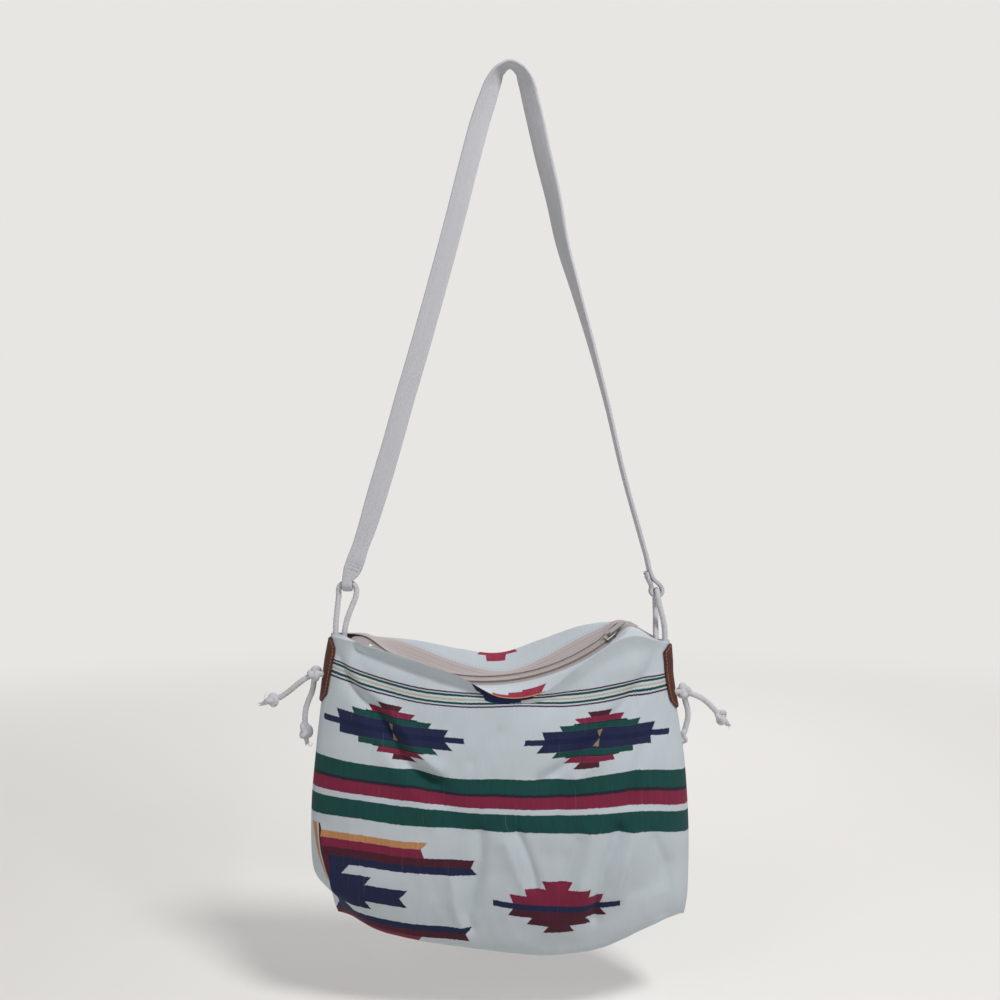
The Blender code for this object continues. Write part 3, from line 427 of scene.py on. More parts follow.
class Look(Nodes):
    """A material."""

    def __init__(self, name):
        self.look = bpy.data.materials.new(name)
        self.look.use_nodes = True
        super().__init__(self.look.node_tree)
        self.shader = self.tree.nodes["Principled BSDF"]

    def bump(self, height, distance, strength):
        inputs = {"Height": height, "Distance": distance, "Strength": strength}
        self.put(self.shader.inputs["Normal"], self.add("ShaderNodeBump", inputs))

    def finish(self, colour, roughness, sheen=0.0):
        self.put(self.shader.inputs["Base Color"], colour)
        self.put(self.shader.inputs["Roughness"], roughness)
        self.shader.inputs["Sheen Weight"].default_value = sheen
        self.shader.inputs["Specular IOR Level"].default_value = 0.25
        return self.look


# Camera, floor and light


def placed(name, data):
    """A new object in the scene."""
    made = bpy.data.objects.new(name, data)
    bpy.context.scene.collection.objects.link(made)
    return made


def camera():
    data = bpy.data.cameras.new("camera")
    data.lens = LENS
    data.sensor_width = 36.0
    made = placed("camera", data)
    made.location = CAMERA
    made.rotation_euler = (math.radians(90), 0.0, 0.0)
    bpy.context.scene.camera = made


def lamps():
    for name, place, size, power in LAMPS:
        data = bpy.data.lights.new(name, "AREA")
        data.shape = "DISK"
        data.size = size
        data.energy = power
        made = placed(name, data)
        made.location = place
        made.rotation_euler = (Vector(LIT) - Vector(place)).to_track_quat("-Z", "Y").to_euler()


def seen_directly(n):
    """1 for rays that show the background itself: from the camera, in a reflection or through glass."""
    camera_ray, glossy_ray, transmission_ray = (
        n.add("ShaderNodeLightPath", output=ray)
        for ray in ("Is Camera Ray", "Is Glossy Ray", "Is Transmission Ray"))
    return n.math("ADD", camera_ray + glossy_ray, transmission_ray, clamp=True)


def world():
    made = bpy.data.worlds.new("studio")
    bpy.context.scene.world = made
    made.use_nodes = True
    made.node_tree.nodes.clear()
    n = Nodes(made.node_tree)
    light = n.add("ShaderNodeBackground", {"Color": WORLD_TINT, "Strength": WORLD_LIGHT})
    wall = n.add("ShaderNodeBackground", {"Color": linear(BACKDROP), "Strength": 1.0})
    seen = n.add("ShaderNodeMixShader", (seen_directly(n), light, wall))
    n.put(n.tree.nodes.new("ShaderNodeOutputWorld").inputs["Surface"], seen)


def floor():
    """A wide pale disc below the bag, whose colour melts into the backdrop further out."""
    mesh = bpy.data.meshes.new("floor")
    disc = bmesh.new()
    bmesh.ops.create_circle(disc, cap_ends=True, segments=96, radius=FLOOR_RADIUS)
    disc.to_mesh(mesh)
    disc.free()
    made = placed("floor", mesh)
    made.location = (0.0, 0.0, CAD_BOX[0][2] - FLOOR_DROP)
    n = Look("floor")
    n.shader.inputs["Base Color"].default_value = linear(FLOOR_COLOUR)
    n.shader.inputs["Roughness"].default_value = 0.9
    far = n.add("ShaderNodeVectorMath", (n.place(),), "Value", operation="LENGTH")
    reach = {"Value": far, "From Min": FLOOR_FADE[0], "From Max": FLOOR_FADE[1]}
    fade = n.add("ShaderNodeMapRange", reach, "Result", interpolation_type="SMOOTHSTEP")
    glow = n.add("ShaderNodeEmission", {"Color": linear(BACKDROP)})
    seen = n.add("ShaderNodeMixShader", (fade * seen_directly(n), Value(n, n.shader.outputs[0]), glow))
    n.put(n.tree.nodes["Material Output"].inputs["Surface"], seen)
    mesh.materials.append(n.look)


# Curves and meshes


def through(values, place):
    """A smooth curve through evenly spaced values, read at place (0 is the first, 1 the next)."""
    values = np.asarray(values, float)
    place = np.asarray(place, float)
    last = len(values) - 1
    k = np.clip(np.floor(place).astype(int), 0, last - 1)
    t = place - k
    a, b, c, d = (values[np.clip(k + n, 0, last)] for n in (-1, 0, 1, 2))
    return b + 0.5 * t * (c - a + t * (2 * a - 5 * b + 4 * c - d + t * (3 * (b - c) + d - a)))


def lengths_along(points):
    steps = np.linalg.norm(np.diff(points, axis=0), axis=1)
    return np.concatenate(([0.0], np.cumsum(steps)))


def at_lengths(points, wanted):
    along = lengths_along(points)
    return np.stack([np.interp(wanted, along, points[:, i]) for i in range(points.shape[1])], axis=1)


def even(points, count):
    """count + 1 points at even lengths along a polyline."""
    points = np.asarray(points, float)
    return at_lengths(points, np.linspace(0.0, lengths_along(points)[-1], count + 1))


def smooth_route(points, per_span=60):
    """A smooth curve through unevenly spaced points. The first three values of each set the spacing."""
    points = np.asarray(points, float)
    spans = np.linalg.norm(np.diff(points[:, :3], axis=0), axis=1)
    slopes = np.diff(points, axis=0) / spans[:, None]
    ways = np.empty_like(points)
    ways[0], ways[-1] = slopes[0], slopes[-1]
    before, after = spans[:-1, None], spans[1:, None]
    ways[1:-1] = (slopes[:-1] * after + slopes[1:] * before) / (before + after)
    fine = []
    for k, span in enumerate(spans):
        for step in range(per_span):
            t = step / per_span
            fine.append(points[k] * (1 + 2 * t) * (1 - t) ** 2 + ways[k] * span * t * (1 - t) ** 2
                        + points[k + 1] * t * t * (3 - 2 * t) + ways[k + 1] * span * t * t * (t - 1))
    fine.append(points[-1])
    return np.array(fine)


def unit(ways):
    return ways / (np.linalg.norm(ways, axis=-1, keepdims=True) + 1e-12)


def add_mesh(name, vertices, faces, look, uv=None, rim=None):
    """A mesh object. uv and rim: for each face, the material's places at each of its corners."""
    mesh = bpy.data.meshes.new(name)
    mesh.from_pydata(np.asarray(vertices).tolist(), [], [tuple(f) for f in faces])
    for layer, places in (("cloth", uv), ("rim", rim)):
        if places is not None:
            mesh.uv_layers.new(name=layer)
            mesh.uv_layers[layer].data.foreach_set("uv", np.asarray(places, float).ravel())
    shell = bmesh.new()
    shell.from_mesh(mesh)
    bmesh.ops.recalc_face_normals(shell, faces=shell.faces)
    shell.to_mesh(mesh)
    shell.free()
    mesh.shade_smooth()
    mesh.set_sharp_from_angle(angle=SHARP_ANGLE)
    made = placed(name, mesh)
    mesh.materials.append(look)
    return made


def tube_faces(count, sides):
    """Faces of a tube through rings of points, its two caps last."""
    ring, side = np.meshgrid(np.arange(count - 1), np.arange(sides), indexing="ij")
    a = ring * sides + side
    b = ring * sides + (side + 1) % sides
    caps = [tuple(range(sides)), tuple(range((count - 1) * sides, count * sides))]
    return np.stack([a, b, b + sides, a + sides], axis=-1).reshape(-1, 4).tolist() + caps


def skin(name, rings, look, around=None, along=None):
    """A closed tube through rings of points. around and along give the material's places."""
    rings = np.asarray(rings)
    count, sides = rings.shape[:2]
    if around is None:
        around = np.linspace(0.0, 1.0, sides + 1)
    if along is None:
        along = lengths_along(rings.mean(axis=1))
    ring, side = np.meshgrid(np.arange(count - 1), np.arange(sides), indexing="ij")
    corners = [np.stack([around[side + p], along[ring + q]], axis=-1)
               for p, q in ((0, 0), (1, 0), (1, 1), (0, 1))]
    uv = np.stack(corners, axis=2).reshape(-1, 2)
    cap_uv = [np.stack([around[:-1], np.full(sides, along[end])], axis=1) for end in (0, -1)]
    uv = np.concatenate([uv, *cap_uv])
    return add_mesh(name, rings.reshape(-1, 3), tube_faces(count, sides), look, uv)


def frames_along(route, first=(0.0, -1.0, 0.0)):
    """Directions along a route, and two square to it that don't twist."""
    along = unit(np.gradient(route, axis=0))
    side = np.array(first, float)
    sides = []
    for way in along:
        side = side - way * np.dot(side, way)
        side /= np.linalg.norm(side)
        sides.append(side)
    sides = np.array(sides)
    return along, sides, np.cross(along, sides)


def round_rings(route, radius, sides, strands=0, twist=0.0, groove=0.0):
    """Rings of a round cord. With strands it is a twisted one: its radius dips between the strands."""
    _, side, up = frames_along(route)
    radius = np.broadcast_to(np.asarray(radius, float), (len(route),))
    turn = np.linspace(0.0, 2 * math.pi, sides, endpoint=False)
    spun = strands * turn[None, :] - twist * lengths_along(route)[:, None]
    reach = radius[:, None] * (1.0 - groove * (0.5 - 0.5 * np.cos(spun)) ** 3)
    return route[:, None, :] + reach[:, :, None] * (
        np.cos(turn)[None, :, None] * side[:, None, :] + np.sin(turn)[None, :, None] * up[:, None, :])


def joined(name, parts, look):
    """One object from several (vertices, faces)."""
    vertices, faces, base = [], [], 0
    for points, own in parts:
        vertices.append(np.asarray(points))
        faces += [tuple(base + k for k in face) for face in own]
        base += len(points)
    return add_mesh(name, np.concatenate(vertices), faces, look)


def small_tube(route, radius, sides):
    """Vertices and faces of a thin tube, for joined()."""
    rings = round_rings(np.asarray(route, float), radius, sides)
    return rings.reshape(-1, 3), tube_faces(len(rings), sides)


def reshaped(target, kind, **settings):
    """The target with its mesh replaced by what a modifier makes of it."""
    modifier = target.modifiers.new("shape", kind)
    for name, setting in settings.items():
        setattr(modifier, name, setting)
    bpy.context.view_layer.update()
    shaped = bpy.data.meshes.new_from_object(target.evaluated_get(bpy.context.evaluated_depsgraph_get()))
    target.modifiers.clear()
    target.data = shaped
    return target


def settle(made, node=None):
    """Fix a piece to the bag's body, and put it in place of a node if there is one."""
    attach(made, "bag")
    if node:
        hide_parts(node)


# Materials


def weave_height(n, u, t, pitch):
    """A plain weave's relief from two sets of threads, pitch apart."""
    return n.waves(u, pitch) * n.waves(t, pitch)


def bar_group():
    """Share of a bar of the print: level top and foot, and ends that may lean."""
    tree = bpy.data.node_groups.new("print_bar", "ShaderNodeTree")
    names = ("u", "t", "top", "foot", "left", "left lean", "right", "right lean", "edge")
    for name in names:
        tree.interface.new_socket(name, in_out="INPUT", socket_type="NodeSocketFloat")
    tree.interface.new_socket("share", in_out="OUTPUT", socket_type="NodeSocketFloat")
    n = Nodes(tree)
    given = tree.nodes.new("NodeGroupInput").outputs
    u, t, top, foot, left, left_lean, right, right_lean, edge = (Value(n, given[name]) for name in names)
    below_top = t - top
    down = n.math("DIVIDE", below_top, foot - top, clamp=True)
    from_left = u - n.math("MULTIPLY_ADD", left_lean, down, left)
    from_right = n.math("MULTIPLY_ADD", right_lean, down, right) - u
    level = n.math("MINIMUM", below_top, foot - t)
    least = n.math("MINIMUM", level, n.math("MINIMUM", from_left, from_right))
    covered = n.math("ADD", least / edge, 0.5, clamp=True)
    tree.links.new(covered.socket, tree.nodes.new("NodeGroupOutput").inputs["share"])
    return tree


def canvas_look():
    """Woven grey canvas with a printed band pattern."""
    n = Look("canvas")
    u, t = n.uv()
    spun = n.streaks(u, t, 900.0, 40.0)
    soft = n.noise(n.place(), 26.0, 3.0)
    shade = n.spread(spun, 0.975, 1.02) + n.spread(soft, -0.02, 0.02)
    colour = print_colours(n, u, t, n.scaled(CANVAS_GREY, shade))
    slubs = n.streaks(u, t, 260.0, 2200.0)
    n.bump(weave_height(n, u, t, 0.0011) * 0.5 + slubs, 0.00018, 0.7)
    return n.finish(colour, n.range(spun, 0.0, 1.0, 0.82, 0.92), 0.04)


def thread_look(name, grey, relief):
    """Cotton cord or thread: fine fibres and faint blotches."""
    n = Look(name)
    fibre = n.noise(n.place(), 1900.0, 3.0)
    blotch = n.noise(n.place(), 120.0)
    shade = n.spread(fibre, 0.93, 1.05) + n.spread(blotch, -0.02, 0.02)
    n.bump(fibre, relief, 0.6)
    return n.finish(n.scaled(grey, shade), 0.88, 0.2)


def webbing_look():
    """Ribbed cotton webbing: fine ribs along it, their grooves painted darker as shade, and a herringbone
    of threads across.
    """
    n = Look("webbing")
    u, t = n.uv()
    rib = n.waves(u, 0.0016)
    slant = n.waves(t + abs(u), 0.0013)
    fibre = n.noise(n.place(), 900.0, 3.0)
    tone = n.streaks(u, t, 320.0, 18.0)
    # The rib wave also darkens the colour in the grooves between the ribs, which is painted shade. The
    # streaks are the webbing's own tone.
    shade = n.range(rib, -1.0, 1.0, 0.95, 1.01) + n.spread(tone, -0.02, 0.02)
    n.bump(slant * 0.3 + (fibre * 0.4 + rib), 0.00012, 0.6)
    return n.finish(n.scaled(WEBBING_GREY, shade), 0.86, 0.2)


def leather_look():
    """Brown leather: pebbled grain, darker pores and worn, polished patches."""
    n = Look("leather")
    place = n.place()
    cells = n.add("ShaderNodeTexVoronoi", {"Vector": place, "Scale": 950.0}, "Distance",
                  feature="DISTANCE_TO_EDGE")
    grain = n.math("MINIMUM", cells, 0.25)
    patch = n.noise(place, 130.0, 4.0, 0.6)
    fine = n.noise(place, 1500.0, 3.0)
    tone = n.mix(n.range(patch, 0.32, 0.68, 0.0, 1.0), linear(LEATHER_DARK), linear(LEATHER_WORN))
    shade = n.range(grain, 0.0, 0.25, 0.82, 1.02) + n.spread(fine, -0.06, 0.06)
    n.bump(fine * 0.25 + grain, 0.0005, 0.75)
    return n.finish(n.scaled(tone, shade), n.spread(patch, 0.48, 0.62))


def tape_look():
    n = Look("zip_tape")
    u, t = n.uv()
    n.bump(weave_height(n, u, t, 0.0009), 0.0002, 0.8)
    return n.finish(n.scaled(TAPE_COLOUR, n.spread(n.noise(n.place(), 300.0), 0.95, 1.04)), 0.8)


def coil_look():
    n = Look("zip_coil")
    tone = n.noise(n.place(), 500.0)
    n.bump(tone, 0.00005, 0.5)
    return n.finish(n.scaled(COIL_GREY, n.spread(tone, 0.95, 1.03)), 0.5)


def metal_look():
    """Plated metal with fine scratches and duller patches."""
    n = Look("zip_metal")
    patch = n.noise(n.place(), 420.0, 4.0)
    n.bump(patch, 0.00006, 0.4)
    n.shader.inputs["Metallic"].default_value = 1.0
    return n.finish(n.scaled(METAL_GREY, n.spread(patch, 0.86, 1.06)), n.spread(patch, 0.38, 0.55))


# Print: places on the cloth in mm, u to the right of the middle and t down from the thin stripes

COLOURS = {
    "green": (0, 62, 58), "crimson": (118, 24, 56), "maroon": (68, 16, 34), "navy": (18, 26, 62),
    "tan": (180, 128, 84), "purple": (62, 32, 58), "black": (26, 20, 38), "gold": (142, 122, 88),
    "beige": (176, 166, 146), "red": (142, 34, 62),
}
FAR = 1000.0
MM = 1000.0
PRINT_EDGE = 0.35
PRINT_CROWDING = 0.0003

# Bands right across: colour, top and foot
STRIPE_TOP = -7.6
BANDS = (
    ("purple", STRIPE_TOP - 0.2, STRIPE_TOP + 1.3), ("green", STRIPE_TOP + 2.2, STRIPE_TOP + 4.3),
    ("beige", STRIPE_TOP + 6.2, STRIPE_TOP + 7.9), ("green", STRIPE_TOP + 9.5, STRIPE_TOP + 11.6),
    ("purple", STRIPE_TOP + 12.9, STRIPE_TOP + 14.4),
    ("green", 72.1, 86.6), ("black", 86.2, 89.2), ("crimson", 89.0, 100.2), ("green", 105.4, 122.2),
)

# A motif's bars on one side of its middle: colour, top and foot (from its middle line), and the end's
# distance from its middle at top and at foot
UPPER_MIDDLES = (-99.6, 90.2)
UPPER_LINE = 38.8
UPPER_LEAN = -0.50
UPPER_BARS = (
    ("navy", -2.5, 2.5, 67.5, 67.5), ("navy", -9.4, 9.4, 45.0, 53.2), ("green", 9.3, 14.4, 35.2, 37.9),
    ("black", 14.2, 15.5, 25.0, 25.0), ("crimson", 15.4, 20.3, 19.4, 23.6),
    ("maroon", 20.2, 25.2, 8.6, 11.8), ("gold", 0.8, 7.6, 0.1, 2.6),
)

# The lower small motif, above and below its navy line: colour, top, foot, half-width at top and at foot
LOWER_MIDDLE = 51.2
LOWER_LINE = 191.0
LOWER_BEND = 0.0013
LOWER_LEAN = 0.10
LOWER_BARS = (
    ("crimson", 165.8, 173.5, 13.6, 9.6), ("crimson", 173.3, 180.3, 29.8, 26.6),
    ("crimson", 180.1, 188.4, 42.0, 38.8), ("maroon", 193.7, 200.7, 39.0, 44.2),
    ("maroon", 200.5, 207.4, 23.3, 28.9), ("maroon", 207.2, 214.0, 9.3, 13.9),
    ("navy", 188.2, 193.9, 56.5, 56.5),
)

# What shows of the large motif beyond the crease by the left seam, its crimson there painted as maroon
# for the crease's shade: colour, top, foot, left end and its lean, right end and its lean
SLIVERS = (
    ("tan", 131.0, 160.0, -174.6, 10.3, -167.6, 6.7), ("tan", 159.8, 184.0, -164.3, 13.3, -160.9, 10.4),
    # The maroon wedges are painted shade: the crimson bar darkened where the crease shades it.
    ("maroon", 131.0, 158.0, -165.5, 5.5, -163.5, 11.5),
    ("maroon", 157.8, 184.0, -160.0, 9.5, -151.0, 0.0),
)

# The large motif at the left: bars above and below its middle line, with their left and right ends
LARGE_LINE = 189.4
LARGE_BARS = (
    ("tan", 46.9, 53.0, -161.5, -73.4, -67.7), ("crimson", 39.0, 47.0, -160.0, -70.4, -73.4),
    ("maroon", 31.6, 39.2, -155.5, -31.0, -27.6), ("navy", 24.9, 31.8, -152.5, -24.2, -31.0),
    ("navy", 16.2, 25.1, -151.5, -141.5, -134.6), ("navy", 8.2, 16.4, -151.5, -121.0, -115.0),
    ("navy", -8.4, 8.4, -151.5, -97.0, -84.0),
)

# At the lip: places across, and down from the fold (below 0 on the facing). The back panel's are a metre
# to the right.
RIM_SHIFT = 1.0
LIP_BARS = (
    ("red", -5.0, -1.2, -7.0, 0.0, 18.5, -3.0), ("red", -9.0, -1.2, 8.0, 0.0, 31.0, -4.0),
    ("red", -11.5, -1.2, 21.0, 0.0, 44.5, -5.0), ("tan", -1.4, 0.2, -17.0, 0.0, 43.0, 0.0),
    ("navy", 0.0, 4.6, -30.0, 6.0, -4.0, 0.0), ("navy", 0.0, 8.6, -19.0, 4.0, 9.0, 0.0),
    ("navy", 0.0, 6.2, -9.0, 0.0, 20.0, 0.0), ("navy", 0.0, 3.6, 2.0, 0.0, 31.0, 3.0),
)
BACK_BARS = (
    ("red", -4.4, 0.6, 977.5, 3.0, 1017.5, -3.0), ("red", -13.0, -4.2, 987.0, -1.0, 1005.0, 1.0),
)

# On the back facing, the zip tape's edge sags at the middle of the mouth. Places in mm.
TAPE_SAG = -32.0
TAPE_RISE = 0.255
TAPE_MIDDLE = 1008.0
TAPE_ROUND = 400.0
TAPE_LINES = ((-5.2, 0.45, 0.5), (-8.0, 0.35, 0.4), (-11.0, 0.4, 0.5), (-14.5, 0.3, 0.4))
TAPE_COLOUR = (181, 172, 171)
LINE_COLOUR = (146, 128, 130)
STITCH_COLOUR = (150, 149, 152)
STITCH_ROW = 1.6
STITCH_PITCH = 3.4


def print_colours(n, u, t, ground):
    """Dyed bars over the cloth. Threads that run down it carry each level edge a little up or down."""
    bar = bar_group()
    colour = ground
    mm_u = u * MM
    even_u = mm_u - mm_u * abs(mm_u) * PRINT_CROWDING
    mm_t = t * MM + n.range(n.streaks(u, t, 700.0, 3.0), 0.25, 0.75, -0.55, 0.55)
    dye = n.range(n.streaks(u, t, 420.0, 22.0, 4.0, 3.0), 0.25, 0.75, 0.86, 1.18)
    strength = n.range(n.streaks(u, t, 1300.0, 14.0, 9.0, 1.0), 0.70, 0.80, 0.99, 0.84)

    def paint(name, *numbers, across=even_u, down=mm_t):
        nonlocal colour
        share = n.add("ShaderNodeGroup", (across, down, *numbers, PRINT_EDGE), node_tree=bar)
        colour = n.mix(share * strength, colour, n.scaled(COLOURS[name], dye))

    for name, top, foot in BANDS:
        paint(name, top, foot, -FAR, 0.0, FAR, 0.0)
    middle = sum(UPPER_MIDDLES) / 2
    below_line = mm_t - UPPER_LINE
    leaning = n.math("MAXIMUM", below_line, 0.0) * UPPER_LEAN + (UPPER_MIDDLES[1] - middle)
    from_middle = abs(abs(even_u - middle) - leaning)
    from_line = abs(below_line)
    from_lower = abs(even_u - ((mm_t - LOWER_LINE) * LOWER_LEAN + LOWER_MIDDLE))
    bent = from_lower * from_lower * LOWER_BEND + mm_t
    for bars, across, down in ((UPPER_BARS, from_middle, from_line), (LOWER_BARS, from_lower, bent)):
        for name, top, foot, end_top, end_foot in bars:
            paint(name, top, foot, -FAR, 0.0, end_top, end_foot - end_top, across=across, down=down)
    for name, *numbers in SLIVERS:
        paint(name, *numbers)
    from_large = abs(mm_t - LARGE_LINE)
    for name, top, foot, start, end_top, end_foot in LARGE_BARS:
        paint(name, top, foot, start, 0.0, end_top, end_foot - end_top, down=from_large)
    across, down = (part * MM for part in n.uv("rim"))
    for name, *numbers in LIP_BARS + BACK_BARS:
        paint(name, *numbers, across=across, down=down)
    for share, own in zip(sewn_tape(n, across, down), (TAPE_COLOUR, LINE_COLOUR, STITCH_COLOUR)):
        colour = n.mix(share, colour, linear(own))
    return colour


def sewn_tape(n, across, down):
    """How far a place is zip tape, one of the tape's woven lines, and a stitch at its edge."""
    off = across - TAPE_MIDDLE
    from_edge = down - (n.math("SQRT", off * off + TAPE_ROUND) * TAPE_RISE + TAPE_SAG)
    behind = n.math("GREATER_THAN", across, RIM_SHIFT * MM / 2)
    tape = behind * n.range(from_edge, -0.4, 0.1, 1.0, 0.0)
    lines = 0.0
    for place, half, strength in TAPE_LINES:
        line = n.range(abs(from_edge - place), half * 0.5, half * 1.5, strength, 0.0)
        lines = n.math("MAXIMUM", lines, line)
    row = n.range(abs(from_edge - STITCH_ROW), 0.2, 0.5, 1.0, 0.0)
    dashes = n.range(n.waves(across, STITCH_PITCH), -0.2, 0.2, 0.0, 1.0)
    return tape, lines * tape, row * dashes * (behind * 0.7)


# Cloth


def line_at(place, face, creased=True):
    """The row of cloth at a place between FRONT_LINES: a fine polyline from left seam to right."""
    left, right, seam, bulge, round_a, round_b = (
        float(through([line[k] for line in FRONT_LINES], place)) for k in range(1, 7)
    )
    heights = through([line[7] for line in FRONT_LINES], place)
    if face == "back":
        bulge, round_a, round_b = back_bulge(place, seam), 3.0, 0.40
        heights = through([BACK_LIP] + [level(row) for row in range(ROLL, SEAM + 1)], place)
    s = -np.cos(np.linspace(0.0, math.pi, ROW_SAMPLES + 1))
    out = bulge * np.maximum(1 - np.abs(s) ** round_a, 0.0) ** round_b
    x = (left + right) / 2 + (right - left) / 2 * s
    z = through(heights, (s + 1) / 2 * (len(heights) - 1))
    free = np.clip((out - FOLD_FREE) / FOLD_FADE, 0.0, 1.0)
    if face == "front":
        y = seam - GAP / 2 - out - folds(x, z) * free
        if creased:
            share = np.clip((out - CREASE_FREE) / CREASE_FADE, 0.0, 1.0)
            y -= (creases(x, z, CREASES) + wrinkles(x, z)) * share
    else:
        y = seam + GAP / 2 + np.minimum(out * BACK_FLATNESS, bulge)
        if creased:
            y -= (creases(x, z, BACK_CREASES) + 2 * WRINKLE_HEIGHT + wrinkles(x, z)) * free
    return np.stack([x, y, z], axis=1)


def back_bulge(place, seam):
    depth = BACK_LIP_Y + (BACK_PLANE - BACK_LIP_Y) * min(place / MOTIF, 1.0)
    closing = min(max((place - EDGE) / (SEAM - EDGE), 0.0), 1.0)
    return (depth - seam) * (1 - closing)


def level(row):
    """A row's heights on the back: most of its belly taken out, but not at the bottom seam."""
    heights = np.array(FRONT_LINES[row][7])
    straight = np.linspace(heights[0], heights[-1], len(heights))
    kept = BACK_BELLY + (1 - BACK_BELLY) * max(row - LOW, 0) / (SEAM - LOW)
    return straight + kept * (heights - straight)


def folds(x, z):
    total = np.zeros_like(x)
    for (ax, az), (bx, bz), width, height in FRONT_FOLDS:
        dx, dz = bx - ax, bz - az
        length = math.hypot(dx, dz)
        along = ((x - ax) * dx + (z - az) * dz) / length
        off = ((x - ax) * dz - (z - az) * dx) / length
        past = np.maximum(np.maximum(-along, along - length), 0.0)
        total += height * np.exp(-(off / width) ** 2 - (past / (FOLD_TAPER * width)) ** 2)
    return total


def creases(x, z, lines):
    """Creases along bent lines: how far they stand out at each place."""
    total = np.zeros_like(x)
    for points, width, height in lines:
        nearest = np.full_like(x, np.inf)
        for (ax, az), (bx, bz) in zip(points, points[1:]):
            dx, dz = bx - ax, bz - az
            share = np.clip(((x - ax) * dx + (z - az) * dz) / (dx * dx + dz * dz), 0.0, 1.0)
            nearest = np.minimum(nearest, (x - ax - share * dx) ** 2 + (z - az - share * dz) ** 2)
        total += height * np.exp(-(nearest / width ** 2) ** CREASE_CREST)
    return total


def wrinkles(x, z):
    """The faint unevenness of cloth that has been used: waves in many directions."""
    random = np.random.default_rng(11)
    total = np.zeros_like(x)
    for _ in range(WRINKLES):
        length = random.uniform(*WRINKLE_LENGTHS)
        way, phase = random.uniform(0.0, math.pi), random.uniform(0.0, 6.28)
        across = x * math.cos(way) + z * math.sin(way)
        total += length / WRINKLE_LENGTHS[1] * np.sin(2 * math.pi * across / length + phase)
    return WRINKLE_HEIGHT * total / math.sqrt(WRINKLES) * WRINKLE_GAIN


def columns_of(points, count):
    """count + 1 points along a row: closer together by the seams, where the cloth turns sharply."""
    length = lengths_along(points)[-1]
    edge = SEAM_STEP * np.arange(SEAM_COLUMNS)
    inset = SEAM_COLUMNS * SEAM_STEP
    middle = np.linspace(inset, length - inset, count + 1 - 2 * SEAM_COLUMNS)
    return at_lengths(points, np.concatenate((edge, middle, length - edge[::-1])))


def zip_frame(angle):
    """Point on the zip's line, and its directions: along, across (to the front) and up."""
    down = np.array((0.0, -math.sin(ZIP_LEAN), -math.cos(ZIP_LEAN)))
    ahead = np.array((0.0, -math.cos(ZIP_LEAN), math.sin(ZIP_LEAN)))
    out = np.array((math.sin(angle), 0.0, 0.0)) + math.cos(angle) * down
    along = np.array((math.cos(angle), 0.0, 0.0)) - math.sin(angle) * down
    across = math.cos(TAPE_SLANT) * ahead + math.sin(TAPE_SLANT) * out
    up = math.sin(TAPE_SLANT) * ahead - math.cos(TAPE_SLANT) * out
    return ZIP_CENTRE + ZIP_RADIUS * out, along, across, up


def zip_point(angle, across, up):
    point, _, across_way, up_way = zip_frame(angle)
    return point + across * across_way + up * up_way


def mouth_line(side, across, up, drop):
    """A line of the facing beside the zip tape, drawn out to both top corners. side: 1 front, -1 back."""
    lip = FRONT_LINES[LIP]
    line = []
    for x, z, inward in ((lip[1], lip[7][0], 1), (lip[2], lip[7][-1], -1)):
        top = z + CORNER_RISE - drop
        corner = []
        for turn in CORNER_TURNS:
            reach = CORNER_REACH * (1 - math.cos(math.radians(turn)))
            depth = CORNER_DEPTH * math.sin(math.radians(turn))
            corner.append((x + inward * reach, lip[3] - side * (GAP / 2 + depth), top))
        line.append(corner)
    reach = (TAPE_END + FACING_BEYOND) / ZIP_RADIUS
    angles = np.linspace(ZIP_LEFT - reach, ZIP_RIGHT + reach, 11)
    middle = [tuple(zip_point(a, side * across, up)) for a in angles]
    return smooth_route(line[0] + middle + line[1][::-1], 30)


def cloth_rows(face, columns, creased=True):
    """Rows of the outer surface of one panel, from its hem inside the mouth to the bottom seam, and each
    row's place along FRONT_LINES (below 0 on the facing)."""
    side = 1 if face == "front" else -1
    clear = TAPE_THICKNESS / 2 + GAP + CANVAS + FACING_ROOM
    hem = columns_of(mouth_line(side, TAPE_HALF_WIDTH - FACING_OVERLAP, clear, 0.0), columns)
    flank = columns_of(mouth_line(side, TAPE_HALF_WIDTH + FACING_FLANK, clear, CORNER_RISE / 3), columns)
    lip = columns_of(line_at(LIP, face, creased), columns)
    from_seam = np.minimum(np.arange(columns + 1), columns - np.arange(columns + 1))
    crown = FACING_CROWN * np.clip((from_seam - SEAM_COLUMNS) / SEAM_COLUMNS, 0.0, 1.0)
    middle = (flank + lip) / 2 + crown[:, None] * np.array((0.0, 0.0, 1.0))
    grid, places = [], []
    for k in range(FACING_STEPS[0]):
        grid.append(hem + (flank - hem) * k / FACING_STEPS[0])
        places.append(-2 + k / FACING_STEPS[0])
    for k in range(FACING_STEPS[1]):
        s = k / FACING_STEPS[1]
        grid.append(flank * (1 - s) * (1 - 2 * s) + middle * 4 * s * (1 - s) + lip * s * (2 * s - 1))
        places.append(-1 + s)
    for line, count in enumerate(WALL_STEPS):
        for k in range(count):
            grid.append(columns_of(line_at(line + k / count, face, creased), columns))
            places.append(line + k / count)
    grid.append(columns_of(line_at(SEAM, face, creased), columns))
    places.append(float(SEAM))
    return np.array(grid), np.array(places)


